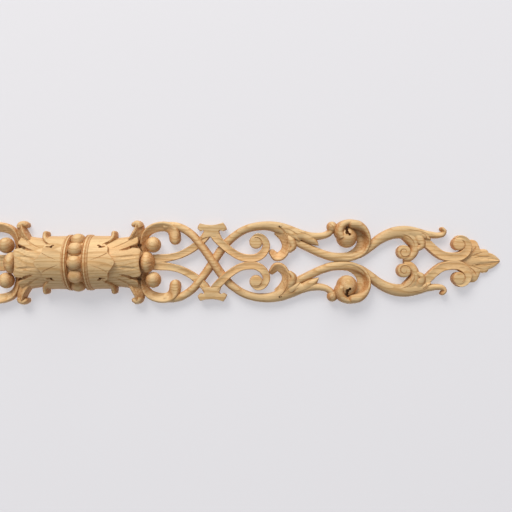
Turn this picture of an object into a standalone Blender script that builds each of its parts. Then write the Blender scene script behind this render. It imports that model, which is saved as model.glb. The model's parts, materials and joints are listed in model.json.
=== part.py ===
"""Carved scroll onlay: one board of pale hardwood, pierced and carved into acanthus scrolls.

A half-round collar with a row of beads binds the middle, two mirrored wings of scrollwork run out from it,
and each wing ends in a small pointed leaf. The back is flat and lies on the plane Y = 0, the carving faces
-Y, +X runs along the onlay and +Z is up. The origin is the middle of the back.

The wing is drawn once, in millimetres on a sheet for an onlay 1000 mm long and 100 mm high: its right half
above the centre line. Every place on the sheet is a share of LENGTH and HEIGHT, so the whole drawing follows
those two sizes, and every rise on the wing is a share of STEM_RISE.
"""

import math
from collections import namedtuple

import bmesh
import bpy
from mathutils import Matrix, Vector

# Overall sizes, in metres
LENGTH = 1.000
HEIGHT = 0.100
STEM_RISE = 0.010  # crown of a plain stem above the back

# The collar at the middle
COLLAR_RISE = 0.0345  # top of the two fillets above the back
COLLAR_HALF_HEIGHT = 0.0335  # the fillets' reach above and below the centre line
COLLAR_REACH = 0.0745  # from the middle to the end of the long leaves
CUFF_REACH = 0.0465  # from the middle to the point of the short leaves
CUFF_STEP = 0.0022  # the fillets stand this far over the short leaves
LEAF_STEP = 0.0040  # the short leaves stand this far over the long ones
CHANNEL_WIDTH = 0.0165  # between the fillets, where the beads sit
CHANNEL_DEPTH = 0.0040
FILLET_WIDTH = 0.0076
BEAD_COUNT = 5
BEAD_DIAMETER = 0.0166
BEAD_LENGTH = 0.0190  # along the onlay
BEAD_STAND = 0.0038  # the beads stand this far over the fillets
BEAD_PITCH = math.radians(31.5)  # from one bead to the next, round the collar
BUD_LENGTH = 0.0180
BUD_WIDTH = 0.0256
BUD_RISE = 0.0225
BALL_DIAMETER = 0.0188  # in the eye of the first scroll
BALL_RISE = 0.0180
BULB_DIAMETER = 0.0250  # curled end of the great scroll
BULB_RISE = 0.0170

# How the wood is cut
DRAFT = 0.0008  # each side of a stem is this much wider at the back
BACK_SPARE = 0.0060  # pieces run on behind the back before it is sawn flat
TURN_STEP = math.radians(36)  # most that a stem turns between two stations
RUN_STEP = 0.0200  # most that it runs
INNER_EDGE_SHARE = 0.60  # a stem's inner edge stays within this share of the bend's radius
EDGE_ROUNDING = 0.0010  # on the flat pieces
SECTION_CHANGE = (0.40, 0.70)  # a stem that changes its section does it between these shares of its length

KEPT_FACES = 0.73  # share left after the slivers along the joins are tidied away

SHEET_LENGTH = 1000.0
SHEET_HEIGHT = 100.0
SHEET_RISE = 10.0
X_SHARE = LENGTH / SHEET_LENGTH
Z_SHARE = HEIGHT / SHEET_HEIGHT
RISE_SHARE = STEM_RISE / SHEET_RISE
WOOD_COLOUR = (0.62, 0.40, 0.20, 1.0)

# A section is the stem's outline from its left side to its right: (share of the width, share of the rise)
ROUND = ((-0.50, 0.45), (-0.22, 0.98), (0.22, 0.98), (0.50, 0.45))
STRAP = ((-0.50, 0.82), (-0.41, 1.00), (0.41, 1.00), (0.50, 0.82))
HOLLOW = ((-0.50, 0.48), (0.10, 0.60), (0.36, 1.00), (0.50, 0.70))

Station = namedtuple("Station", "x z width rise")
Stem = namedtuple("Stem", "name sections end rows")

# The wing's stems. Each row of a stem is x, z, width and rise, in millimetres on the sheet.
STEMS = (
    # C-scroll that grips the ball and ends in a club
    Stem("c_scroll", (ROUND,), "round", (
        (77.5, 11.5, 6.0, 8.0), (74.8, 20.5, 7.2, 9.0), (76.4, 30.0, 8.4, 10.0), (81.2, 37.3, 10.0, 10.0),
        (89.3, 41.5, 11.2, 10.0), (98.9, 42.8, 11.6, 10.5), (107.0, 40.4, 12.6, 11.0),
        (111.4, 34.6, 13.8, 11.5), (112.4, 27.6, 13.6, 11.0))),
    # Wood left low between the long leaves, the bud and the C-scroll
    Stem("neck", (STRAP,), "buried", ((61.0, 0.0, 30.0, 8.0), (70.0, 0.0, 30.0, 7.4), (79.0, 0.0, 22.0, 6.8))),
    Stem("web", (STRAP,), "buried", ((63.0, 12.0, 10.0, 4.6), (69.0, 19.0, 11.0, 4.6), (75.0, 26.0, 9.0, 4.6))),
    # Tulip fork from the collar to the cap
    Stem("prong", (STRAP,), "buried", (
        (80.0, 2.0, 14.0, 8.0), (94.9, 4.3, 10.7, 8.0), (106.8, 5.8, 8.9, 8.0), (118.6, 8.8, 8.7, 8.0),
        (130.5, 14.7, 9.0, 8.0), (139.9, 21.4, 9.5, 8.6), (147.1, 28.5, 9.5, 9.6), (151.0, 34.0, 9.5, 9.6))),
    # Strap from the cap, under the crown of the scroll, into its volute
    Stem("leg", (STRAP,), "buried", (
        (157.0, 34.5, 9.0, 9.5), (161.6, 28.5, 9.6, 10.6), (168.4, 21.8, 9.8, 11.5),
        (178.1, 13.4, 9.2, 12.0), (188.7, 6.9, 9.2, 10.5), (198.2, 4.5, 9.5, 10.0), (208.0, 4.7, 9.6, 10.0),
        (215.9, 8.8, 9.6, 10.5), (220.6, 16.0, 9.3, 10.5), (220.4, 22.8, 8.8, 10.8), (216.0, 28.6, 8.2, 11.0),
        (209.8, 30.0, 7.6, 11.0), (205.2, 27.4, 5.4, 10.6))),
    # Acanthus lobe that turns inward from the crown and hooks back to the volute
    Stem("inner_curl", (ROUND,), "round", (
        (234.0, 37.5, 11.0, 9.0), (241.5, 30.4, 12.0, 10.0), (245.0, 22.0, 11.0, 10.5), (243.6, 14.6, 9.0, 10.0),
        (239.4, 8.8, 8.6, 9.5), (233.4, 6.9, 8.8, 9.5), (228.8, 11.0, 6.6, 9.0))),
    Stem("curl_lobe", (ROUND,), "round", (
        (243.0, 33.5, 8.0, 8.0), (249.8, 26.0, 11.0, 11.4), (252.6, 18.2, 9.6, 11.6), (249.4, 13.6, 6.0, 11.0))),
    # Stem under the leaf, along the centre line and up into the great scroll
    Stem("great_scroll", (ROUND, HOLLOW), "buried", (
        (247.0, 29.5, 9.5, 7.5), (261.0, 21.5, 9.0, 8.0), (275.2, 14.8, 9.6, 8.5), (287.0, 9.6, 9.9, 9.0),
        (298.8, 6.0, 10.4, 9.0), (310.7, 5.0, 10.9, 9.0), (322.0, 6.4, 11.8, 9.5), (332.4, 12.6, 14.2, 10.0),
        (337.2, 21.7, 15.4, 11.0), (335.8, 31.7, 15.3, 12.5), (329.4, 39.8, 14.1, 13.5),
        (320.4, 43.4, 12.0, 14.0), (312.4, 41.0, 11.6, 14.8), (309.0, 35.0, 10.0, 15.0))),
    # Stem from the great scroll to the outer leaf
    Stem("outer_stem", (ROUND,), "buried", (
        (312.0, 5.4, 7.5, 8.0), (324.0, 6.0, 9.0, 8.3), (334.5, 9.8, 9.5, 8.5), (345.1, 17.6, 10.7, 9.0),
        (354.5, 25.3, 11.8, 9.0), (365.1, 31.1, 13.0, 9.5), (375.7, 34.3, 14.2, 9.5), (387.4, 34.6, 15.5, 10.0),
        (399.3, 33.3, 14.0, 10.0), (411.0, 32.0, 9.5, 10.0), (420.5, 31.2, 7.6, 9.5))),
    Stem("outer_leaf_tip", (ROUND,), "round", (
        (414.0, 31.6, 8.0, 9.0), (424.5, 31.0, 7.2, 9.5), (430.6, 32.4, 6.6, 9.5), (433.2, 36.4, 5.8, 10.0))),
    # Branch from the outer leaf down to the little volute
    Stem("branch", (ROUND,), "buried", (
        (386.0, 33.5, 14.0, 9.5), (394.5, 25.5, 15.0, 10.0), (397.6, 18.0, 12.4, 10.0), (396.4, 11.2, 10.6, 10.0),
        (391.4, 5.6, 10.0, 10.0), (385.0, 4.6, 8.0, 9.8))),
    Stem("branch_lobe", (ROUND,), "round", (
        (397.0, 33.0, 9.0, 8.5), (402.6, 26.4, 13.4, 10.8), (405.2, 19.0, 10.6, 10.8), (401.0, 15.0, 6.6, 10.4))),
    Stem("strap_lobe", (ROUND,), "round", (
        (401.0, 33.0, 7.0, 8.0), (409.0, 30.2, 8.6, 10.5), (414.2, 27.0, 5.0, 10.0))),
    # Strap from the outer leaf into the last volute
    Stem("last_strap", (STRAP,), "buried", (
        (404.0, 27.5, 10.7, 7.5), (414.1, 19.7, 10.7, 8.0), (421.0, 13.2, 10.7, 8.5), (429.2, 7.4, 10.8, 9.0),
        (438.5, 5.1, 11.0, 9.5), (449.4, 5.3, 11.0, 10.0), (457.4, 10.6, 10.6, 10.5), (459.8, 18.4, 9.8, 10.5),
        (456.4, 24.8, 8.6, 11.0), (450.6, 27.2, 7.2, 11.0), (446.0, 25.0, 5.2, 10.6))),
    # Rib down the middle of the pointed leaf
    Stem("tip_rib", (ROUND,), "point", (
        (455.0, 0.0, 5.0, 6.5), (468.0, 0.0, 5.4, 8.0), (480.0, 0.0, 4.6, 8.0), (489.0, 0.0, 0.8, 5.6))),
)

ON_CENTRE_LINE = ("neck", "tip_rib")  # these stems are their own mirror images

# The diagonal is laid over its mirror image where they cross, and under the leg and the cap's fork
DIAGONAL = (
    (99.0, 43.0, 9.0, 9.0), (109.0, 43.6, 9.2, 9.2), (118.5, 41.4, 9.5, 9.8), (126.5, 37.2, 9.5, 10.4),
    (134.4, 30.8, 9.7, 11.4), (142.8, 20.6, 9.8, 12.4), (151.1, 9.4, 10.0, 12.4), (158.7, -1.8, 10.4, 12.4),
    (166.3, -13.1, 10.4, 10.6), (174.5, -23.2, 10.0, 8.8), (183.9, -31.5, 9.5, 8.8), (195.8, -38.6, 9.5, 9.2),
    (210.0, -42.4, 9.8, 9.5), (225.4, -42.8, 11.3, 9.5), (239.0, -39.4, 14.4, 9.8), (252.0, -34.0, 16.0, 9.8),
    (263.0, -31.0, 13.5, 10.0))
CROSSING_DROP = 3.6  # the mirror image lies this much lower at the crossing
CROSSING_SPAN = (134.0, 176.0)  # and comes back to its own height at these two places

LEAF_ON_STEM = (
    # Leaf over the parting of the stems: two lobes along its lower edge and a tip that curls up
    Stem("parting_tip", (ROUND,), "buried", (
        (252.0, 34.0, 14.0, 10.0), (262.0, 31.8, 12.5, 10.5), (273.0, 30.2, 10.0, 10.5), (284.0, 30.2, 8.6, 10.0),
        (292.4, 32.0, 8.0, 10.0), (297.6, 35.8, 8.0, 10.5), (299.4, 40.0, 7.0, 10.5))),
    Stem("parting_lobe_1", (ROUND,), "round", (
        (242.0, 37.5, 8.0, 8.0), (251.0, 31.6, 9.8, 10.8), (257.0, 26.4, 5.0, 9.8))),
    Stem("parting_lobe_2", (ROUND,), "round", (
        (257.0, 33.5, 8.0, 8.3), (268.0, 28.0, 10.2, 11.0), (277.6, 24.0, 5.0, 9.8))),
)

# Round eyes that end the volutes: x, z, diameter and rise, in millimetres on the sheet
VOLUTE_EYES = {
    "leg_eye": (208.8, 23.6, 15.6, 11.0),
    "branch_eye": (384.2, 11.0, 16.6, 10.5),
    "last_eye": (449.2, 20.6, 15.2, 11.0),
}
BALL_PLACE = (87.0, 20.8)
BULB_PLACE = (316.8, 28.8)
CURL_PLACE = (299.4, 40.4)  # little ball that the parting leaf's tip rolls up into
CURL_DIAMETER = 0.0126
CURL_RISE = 0.0120
BUD_PLACE = 80.0  # on the centre line

# Flat bracket at the top of the crossing: outline in x and z, in millimetres on the sheet
CAP_RISE = 10.0
CAP_OUTLINE = (
    (142.5, 46.0), (156.2, 44.0), (169.8, 47.0), (174.3, 39.3), (170.3, 36.9), (167.0, 38.2), (165.0, 36.0),
    (168.6, 28.0), (156.2, 29.8), (143.4, 27.0), (146.9, 36.0), (145.4, 38.2), (142.5, 36.9), (139.4, 40.3))

# Drilled eyes between the short leaves' lobes: x, z and diameter, in millimetres on the sheet
DRILLED_EYE = (27.8, 18.4, 4.0)
DRILLED_DEPTH = 0.0060

# Pointed leaf at the tip: the upper half of its outline, from the volute to the point
TIP_RISE = 6.5
TIP_OUTLINE = (
    (451.0, 6.0), (463.0, 25.0), (468.6, 25.0), (472.4, 22.4), (474.3, 18.6), (475.0, 13.8), (480.0, 14.4),
    (485.0, 13.2), (485.6, 10.0), (489.0, 9.4), (493.2, 7.2), (497.2, 4.2), (500.0, 1.0))

# How far each layer of leaves reaches, by the angle round the collar from its upper edge: (degrees, share)
CUFF_EDGE = ((-14, 0.72), (10, 0.78), (26, 0.84), (38, 0.79), (46, 0.70), (52, 0.79), (61, 0.82), (68, 0.82),
             (79, 0.925), (90, 1.00))
LEAF_EDGE = ((-14, 0.86), (8, 0.88), (24, 0.92), (40, 0.94), (48, 0.93), (54, 0.81), (61, 0.97), (67, 1.01),
             (78, 0.99), (90, 0.97))
SLEEVE_FLOOR = 0.90  # share of the reach at which a layer is closed inside its edge
# Sections of the two layers along the collar: (share of the reach, half height, rise), as shares of the fillets'
LEAF_BELL = ((0.30, 0.86, 0.83), (0.55, 0.86, 0.81), (0.75, 0.92, 0.74), (0.90, 0.99, 0.67), (1.00, 1.03, 0.62))
CUFF_BELL = ((0.20, 0.96, 0.96), (0.60, 0.95, 0.95), (1.00, 0.98, 0.92))

# Tips that curl out of the collar's edge: x, z and width in sheet millimetres, rise as a share of the collar's
COLLAR_TIPS = {
    "leaf_tip": ((58.0, 21.0, 10.0, 0.36), (65.0, 28.0, 12.5, 0.42), (69.4, 35.6, 12.6, 0.43),
                 (70.6, 42.4, 9.6, 0.39)),
    "leaf_hook": ((71.6, 43.6, 8.2, 0.37), (68.0, 45.3, 8.2, 0.36), (64.8, 45.4, 7.4, 0.34)),
    "cuff_tip": ((29.0, 20.6, 7.0, 0.62), (36.2, 24.6, 7.4, 0.56), (40.6, 29.8, 7.0, 0.44),
                 (40.8, 34.4, 6.8, 0.37)),
}


def on_sheet(x, z):
    """A place on the sheet, in metres."""
    return x * X_SHARE, z * Z_SHARE


def curve_through(rows, steps=24):
    """Smooth line through the rows: a Catmull-Rom spline, as dense samples."""
    points = [tuple(2 * a - b for a, b in zip(rows[0], rows[1])), *rows,
              tuple(2 * a - b for a, b in zip(rows[-1], rows[-2]))]
    line = []
    for before, start, end, after in zip(points, points[1:], points[2:], points[3:]):
        for k in range(steps):
            t = k / steps
            line.append(Station(*(
                0.5 * (2 * b + (c - a) * t + (2 * a - 5 * b + 4 * c - d) * t ** 2
                       + (3 * b - a - 3 * c + d) * t ** 3)
                for a, b, c, d in zip(before, start, end, after))))
    line.append(Station(*rows[-1]))
    return line


def direction_at(line, i):
    """Unit direction of the line at sample i."""
    a, b = line[max(i - 1, 0)], line[min(i + 1, len(line) - 1)]
    return Vector((b.x - a.x, b.z - a.z)).normalized()


def thinned(line):
    """The samples that a faceted stem needs: more where it bends, fewer where it runs straight."""
    kept, turned, run = [0], 0.0, 0.0
    for i in range(1, len(line)):
        turned += abs(direction_at(line, i - 1).angle(direction_at(line, i), 0.0))
        run += math.dist(on_sheet(line[i].x, line[i].z), on_sheet(line[i - 1].x, line[i - 1].z))
        if turned >= TURN_STEP or run >= RUN_STEP:
            kept.append(i)
            turned, run = 0.0, 0.0
    if len(kept) > 1 and len(line) - 1 - kept[-1] < 6:
        kept.pop()
    return [*kept, len(line) - 1]


def bend_radius(stations, k):
    """Signed radius of the bend at station k, positive where the stem turns to its left."""
    (before, ahead_before), (after, ahead_after) = stations[max(k - 1, 0)], stations[min(k + 1, len(stations) - 1)]
    turn = ahead_before.angle_signed(ahead_after, 0.0)
    length = math.dist((before.x, before.z), (after.x, after.z))
    return -length / turn if abs(turn) > 1e-3 else math.inf


def rounded_off(rows):
    """The rows with a round end: the last stretch, half a width long, narrows as a half circle does."""
    x, z, width, rise = rows[-1]
    ahead = direction_at([Station(*row) for row in rows], len(rows) - 1)
    radius = width / 2
    added = []
    for angle in (35, 62, 84):
        along, across = radius * math.sin(math.radians(angle)), math.cos(math.radians(angle))
        added.append((x + ahead.x * along, z + ahead.y * along, width * across, rise * (0.72 + 0.28 * across)))
    return added


def stem_stations(rows, end):
    """Stations of a stem from its rows, each with its direction."""
    line = curve_through(rows)
    stations = [(line[i], direction_at(line, i)) for i in thinned(line)]
    if end == "round":
        ahead = stations[-1][1]
        last = [rows[-1][k] - ahead[k] for k in (0, 1)] + list(rows[-1][2:])
        stations += [(Station(*row), ahead) for row in rounded_off([last, rows[-1]])]
    return stations


def mesh_object(name, bm, collection):
    """Closes the bmesh as an object in the collection, with its faces pointing out."""
    bmesh.ops.recalc_face_normals(bm, faces=bm.faces)
    mesh = bpy.data.meshes.new(name)
    bm.to_mesh(mesh)
    bm.free()
    obj = bpy.data.objects.new(name, mesh)
    collection.objects.link(obj)
    obj.hide_render = True
    obj.display_type = "WIRE"
    return obj


def skinned(rings):
    """Bmesh with quads between neighbouring rings of points, and a cap on the first and the last."""
    bm = bmesh.new()
    loops = [[bm.verts.new(point) for point in ring] for ring in rings]
    for ring, following in zip(loops, loops[1:]):
        for k in range(len(ring)):
            n = (k + 1) % len(ring)
            bm.faces.new((ring[k], ring[n], following[n], following[k]))
    bm.faces.new(loops[0])
    bm.faces.new(loops[-1])
    return bm


def section_at(sections, share):
    """Section of a stem at a share of its length."""
    if len(sections) == 1:
        return sections[0]
    start, end = SECTION_CHANGE
    t = min(max((share - start) / (end - start), 0.0), 1.0)
    blend = t * t * (3 - 2 * t)
    return tuple(tuple(a + (b - a) * blend for a, b in zip(first, last)) for first, last in zip(*sections))


def stem_rings(stations, sections, rise_share):
    """Points of each station's section, from the stem's left side to its right, then round behind the back."""
    foot = DRAFT / X_SHARE
    rings = []
    for k, (station, ahead) in enumerate(stations):
        half = station.width / 2
        bend = bend_radius(stations, k)
        inner_limit = INNER_EDGE_SHARE * abs(bend)
        outline = [(-0.5, -BACK_SPARE, foot)]
        outline += [(share, rise * station.rise * rise_share, 0.0)
                    for share, rise in section_at(sections, k / (len(stations) - 1))]
        outline.append((0.5, -BACK_SPARE, foot))
        ring = []
        for share, height, spare in outline:
            reach = half + spare
            if share * bend < 0:
                reach = min(reach, inner_limit)
            aside = -2 * share * reach
            x, z = on_sheet(station.x - ahead.y * aside, station.z + ahead.x * aside)
            ring.append((x, -height, z))
        rings.append(ring)
    return rings


def stem(piece, collection, mirrored=False, rise_share=RISE_SHARE):
    """One stem of the wing as a closed piece, with its underside behind the back."""
    rings = stem_rings(stem_stations(piece.rows, piece.end), piece.sections, rise_share)
    if mirrored:
        rings = [[(x, y, -z) for x, y, z in ring] for ring in rings]
    return mesh_object(piece.name + ("_below" if mirrored else ""), skinned(rings), collection)


def crossed_under(rows):
    """The diagonal's rows for its mirror image, lowered where it passes under the other."""
    start, end = CROSSING_SPAN
    lowered = []
    for x, z, width, rise in rows:
        share = min(max((x - start) / (end - start), 0.0), 1.0)
        lowered.append((x, z, width, rise - CROSSING_DROP * math.sin(math.pi * share)))
    return tuple(lowered)


def button(name, x, z, diameter, rise, collection, sides=10):
    """Low round boss with a softened top, as the eye of a volute."""
    centre_x, centre_z = on_sheet(x, z)
    radius = diameter / 2
    rings = []
    for share, height in ((1.0, -BACK_SPARE), (1.0, rise * 0.8 * RISE_SHARE), (0.6, rise * RISE_SHARE)):
        turns = [2 * math.pi * k / sides for k in range(sides)]
        rings.append([(centre_x + radius * share * math.cos(turn) * X_SHARE, -height,
                       centre_z + radius * share * math.sin(turn) * Z_SHARE) for turn in turns])
    return mesh_object(name, skinned(rings), collection)


def ball(name, centre, half_sizes, collection, sides=10, tiers=7):
    """Sphere or bud: a primitive sphere with its poles along +Z, scaled and put in place."""
    bm = bmesh.new()
    bmesh.ops.create_uvsphere(bm, u_segments=sides, v_segments=tiers, radius=1.0)
    bmesh.ops.scale(bm, vec=half_sizes, verts=bm.verts)
    bmesh.ops.translate(bm, vec=centre, verts=bm.verts)
    return mesh_object(name, bm, collection)


def standing_ball(name, place, diameter, rise, collection):
    """Ball of the wing that stands on the back plane up to its rise."""
    x, z = on_sheet(*place)
    radius = diameter / 2
    return ball(name, (x, radius - rise, z), (radius, radius, radius), collection)


def plate(name, outline, rise, collection):
    """Flat piece with a softened upper edge, from its outline on the sheet."""
    bm = bmesh.new()
    corners = []
    for x, z in outline:
        place_x, place_z = on_sheet(x, z)
        corners.append(bm.verts.new((place_x, BACK_SPARE, place_z)))
    face = bm.faces.new(corners)
    raised = bmesh.ops.extrude_face_region(bm, geom=[face])
    tops = [item for item in raised["geom"] if isinstance(item, bmesh.types.BMVert)]
    top = next(item for item in raised["geom"] if isinstance(item, bmesh.types.BMFace))
    bmesh.ops.translate(bm, vec=(0, EDGE_ROUNDING - BACK_SPARE - rise * RISE_SHARE, 0), verts=tops)
    bmesh.ops.recalc_face_normals(bm, faces=bm.faces)
    bmesh.ops.inset_region(bm, faces=[top], thickness=EDGE_ROUNDING, depth=EDGE_ROUNDING)
    return mesh_object(name, bm, collection)


def share_at(table, key):
    """Value of a table of (key, value) at key, by straight lines between its rows."""
    for (a, first), (b, second) in zip(table, table[1:]):
        if key <= b:
            return first + (second - first) * (key - a) / (b - a)
    return table[-1][1]


def sleeve(name, edge, bell, reach, start, collection):
    """A layer of leaves round the collar: a half-round sleeve whose end follows the leaves' edge.

    edge gives how far the layer reaches at each angle, and bell its section along the collar.
    """
    angles = [angle for angle, _ in edge] + [180 - angle for angle, _ in reversed(edge[:-1])]
    heights = [(share, height) for share, height, _ in bell]
    rises = [(share, rise) for share, _, rise in bell]
    rings = []
    for step, size, level in ((0.0, 1.0, 0.0), (0.6, 1.0, 0.0), (0.85, 1.0, 0.0), (1.0, 0.98, 0.0),
                              (1.0, 0.75, 0.6), (1.0, 0.45, 1.0)):
        ring = []
        for angle in angles:
            x = start + (share_at(edge, min(angle, 180 - angle)) * reach - start) * step
            x += (reach * SLEEVE_FLOOR - x) * level
            half = share_at(heights, x / reach) * COLLAR_HALF_HEIGHT * size
            rise = share_at(rises, x / reach) * COLLAR_RISE * size
            turn = math.radians(angle)
            ring.append((x, -rise * math.sin(turn), half * math.cos(turn)))
        rings.append(ring)
    return mesh_object(name, skinned(rings), collection)


def collar_drum(collection):
    """Core of the collar: the channel for the beads between two fillets."""
    half_channel = CHANNEL_WIDTH / 2
    outer = half_channel + FILLET_WIDTH
    soft = FILLET_WIDTH / 4
    side = ((half_channel, CHANNEL_DEPTH), (half_channel, soft / 2), (half_channel + soft, 0.0),
            (outer - soft, 0.0), (outer, soft / 2), (outer, CUFF_STEP * 3))
    profile = [(-x, inset) for x, inset in reversed(side)] + list(side)
    rings = []
    for x, inset in profile:
        half, rise = COLLAR_HALF_HEIGHT - inset, COLLAR_RISE - inset
        rings.append([(x, -rise * math.sin(math.radians(angle)), half * math.cos(math.radians(angle)))
                      for angle in range(-24, 205, 16)])
    return mesh_object("collar_drum", skinned(rings), collection)


def beads(collection):
    """Row of beads round the collar, in the channel between the fillets."""
    radius = BEAD_DIAMETER / 2
    half = COLLAR_HALF_HEIGHT + BEAD_STAND - radius
    rise = COLLAR_RISE + BEAD_STAND - radius
    for k in range(BEAD_COUNT):
        turn = (k - (BEAD_COUNT - 1) / 2) * BEAD_PITCH
        bead = ball(f"bead_{k + 1}", (0, 0, 0), (BEAD_LENGTH / 2, radius, radius), collection)
        bead.data.transform(Matrix.Rotation(turn, 4, "X"))
        bead.data.transform(Matrix.Translation((0.0, -rise * math.cos(turn), half * math.sin(turn))))


def carve_right(collection):
    """Every piece of the right wing and of the collar's right leaves, overlapping, before they are joined."""
    start = CHANNEL_WIDTH / 2 + FILLET_WIDTH * 0.8
    sleeve("cuff", CUFF_EDGE, CUFF_BELL, CUFF_REACH, start, collection)
    sleeve("long_leaves", LEAF_EDGE, LEAF_BELL, COLLAR_REACH, start - FILLET_WIDTH * 0.2, collection)
    ball("bud", (BUD_PLACE * X_SHARE, BUD_WIDTH / 2 - BUD_RISE, 0.0),
         (BUD_LENGTH / 2, BUD_WIDTH / 2, BUD_WIDTH / 2), collection)
    tip = [*TIP_OUTLINE, *((x, -z) for x, z in reversed(TIP_OUTLINE))]
    plate("tip_leaf", tip, TIP_RISE, collection)
    for mirrored in (False, True):
        side = -1 if mirrored else 1
        suffix = "_below" if mirrored else ""
        for piece in (*STEMS, *LEAF_ON_STEM):
            if not (mirrored and piece.name in ON_CENTRE_LINE):
                stem(piece, collection, mirrored)
        rows = crossed_under(DIAGONAL) if mirrored else DIAGONAL
        stem(Stem("diagonal", (ROUND,), "buried", rows), collection, mirrored)
        for name, rows in COLLAR_TIPS.items():
            stem(Stem(name, (ROUND,), "round", rows), collection, mirrored, COLLAR_RISE)
        for name, (x, z, diameter, rise) in VOLUTE_EYES.items():
            button(name + suffix, x, side * z, diameter, rise, collection)
        plate("cap" + suffix, [(x, side * z) for x, z in CAP_OUTLINE], CAP_RISE, collection)
        for name, (x, z), diameter, rise in (("ball", BALL_PLACE, BALL_DIAMETER, BALL_RISE),
                                             ("bulb", BULB_PLACE, BULB_DIAMETER, BULB_RISE),
                                             ("curl", CURL_PLACE, CURL_DIAMETER, CURL_RISE)):
            standing_ball(name + suffix, (x, side * z), diameter, rise, collection)


def drilled_eye(side_x, side_z, cutters):
    """Cutter for a drilled eye: a short cylinder that points at the collar's middle line."""
    x, z, diameter = DRILLED_EYE
    place_x, place_z = on_sheet(x, z)
    turn = math.asin(place_z / COLLAR_RISE)
    bm = bmesh.new()
    bmesh.ops.create_cone(bm, cap_ends=True, segments=8, radius1=diameter / 2 * X_SHARE,
                          radius2=diameter / 2 * X_SHARE, depth=2 * DRILLED_DEPTH)
    bmesh.ops.translate(bm, vec=(0, 0, COLLAR_RISE * CUFF_BELL[0][2]), verts=bm.verts)
    bmesh.ops.rotate(bm, cent=(0, 0, 0), matrix=Matrix.Rotation(math.radians(90) - side_z * turn, 3, "X"),
                     verts=bm.verts)
    bmesh.ops.translate(bm, vec=(side_x * place_x, 0, 0), verts=bm.verts)
    return mesh_object(f"drilled_eye_{'right' if side_x > 0 else 'left'}_{'up' if side_z > 0 else 'down'}",
                       bm, cutters)


def mirror_pieces(collection):
    """Copies every piece to the left of the collar."""
    for piece in list(collection.objects):
        copy = bpy.data.objects.new(piece.name + "_left", piece.data.copy())
        copy.data.transform(Matrix.Scale(-1, 4, (1, 0, 0)))
        copy.data.flip_normals()
        copy.hide_render = True
        copy.display_type = "WIRE"
        collection.objects.link(copy)


def boolean(obj, operation, solver, collection):
    """Adds a Boolean with every object of a collection."""
    modifier = obj.modifiers.new(operation.lower(), "BOOLEAN")
    modifier.operation = operation
    modifier.solver = solver
    modifier.operand_type = "COLLECTION"
    modifier.collection = collection
    modifier.use_self = solver == "EXACT"


def wood():
    """Pale unfinished hardwood."""
    material = bpy.data.materials.new("pale_hardwood")
    material.use_nodes = True
    shader = material.node_tree.nodes["Principled BSDF"]
    shader.inputs["Base Color"].default_value = WOOD_COLOUR
    shader.inputs["Roughness"].default_value = 0.55
    shader.inputs["Metallic"].default_value = 0.0
    return material


def main():
    """Builds the onlay: overlapping pieces, their union, and the flat back."""
    for obj in list(bpy.data.objects):
        bpy.data.objects.remove(obj)
    onlay_collection = bpy.data.collections.new("scroll_onlay")
    pieces = bpy.data.collections.new("carving_pieces")
    cutters = bpy.data.collections.new("cutters")
    for collection in (onlay_collection, pieces, cutters):
        bpy.context.scene.collection.children.link(collection)

    onlay = collar_drum(onlay_collection)
    onlay.name = "scroll_onlay"
    onlay.hide_render = False
    onlay.display_type = "TEXTURED"
    onlay.data.materials.append(wood())
    carve_right(pieces)
    mirror_pieces(pieces)
    beads(pieces)

    bm = bmesh.new()
    bmesh.ops.create_cube(bm, size=1.0)
    bmesh.ops.scale(bm, vec=(LENGTH * 1.2, BACK_SPARE * 10, HEIGHT * 1.4), verts=bm.verts)
    bmesh.ops.translate(bm, vec=(0, BACK_SPARE * 5, 0), verts=bm.verts)
    mesh_object("back_saw", bm, cutters)
    for side_x in (-1, 1):
        for side_z in (-1, 1):
            drilled_eye(side_x, side_z, cutters)

    boolean(onlay, "UNION", "EXACT", pieces)
    # The exact solver leaves holes where the saw runs along the stems' undersides
    boolean(onlay, "DIFFERENCE", "MANIFOLD", cutters)
    tidy = onlay.modifiers.new("tidy", "DECIMATE")
    tidy.ratio = KEPT_FACES
    tidy.use_collapse_triangulate = True


main()
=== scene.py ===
"""Carved scroll onlay of pale hardwood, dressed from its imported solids.

One board, pierced and carved: a half-round collar with a row of beads binds the middle, two mirrored wings
of acanthus scrolls run out from it, and each wing ends in a small pointed leaf. The wing is drawn once, as
the right half above the centre line, in millimetres on a sheet for an onlay 1000 mm long and 100 mm high.
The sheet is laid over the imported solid's box, so the drawing always has the solid's size.
"""

from __future__ import annotations

import json
import logging
import math
from dataclasses import dataclass
from enum import Enum

import bmesh
import bpy
from mathutils import Matrix, Vector

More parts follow.
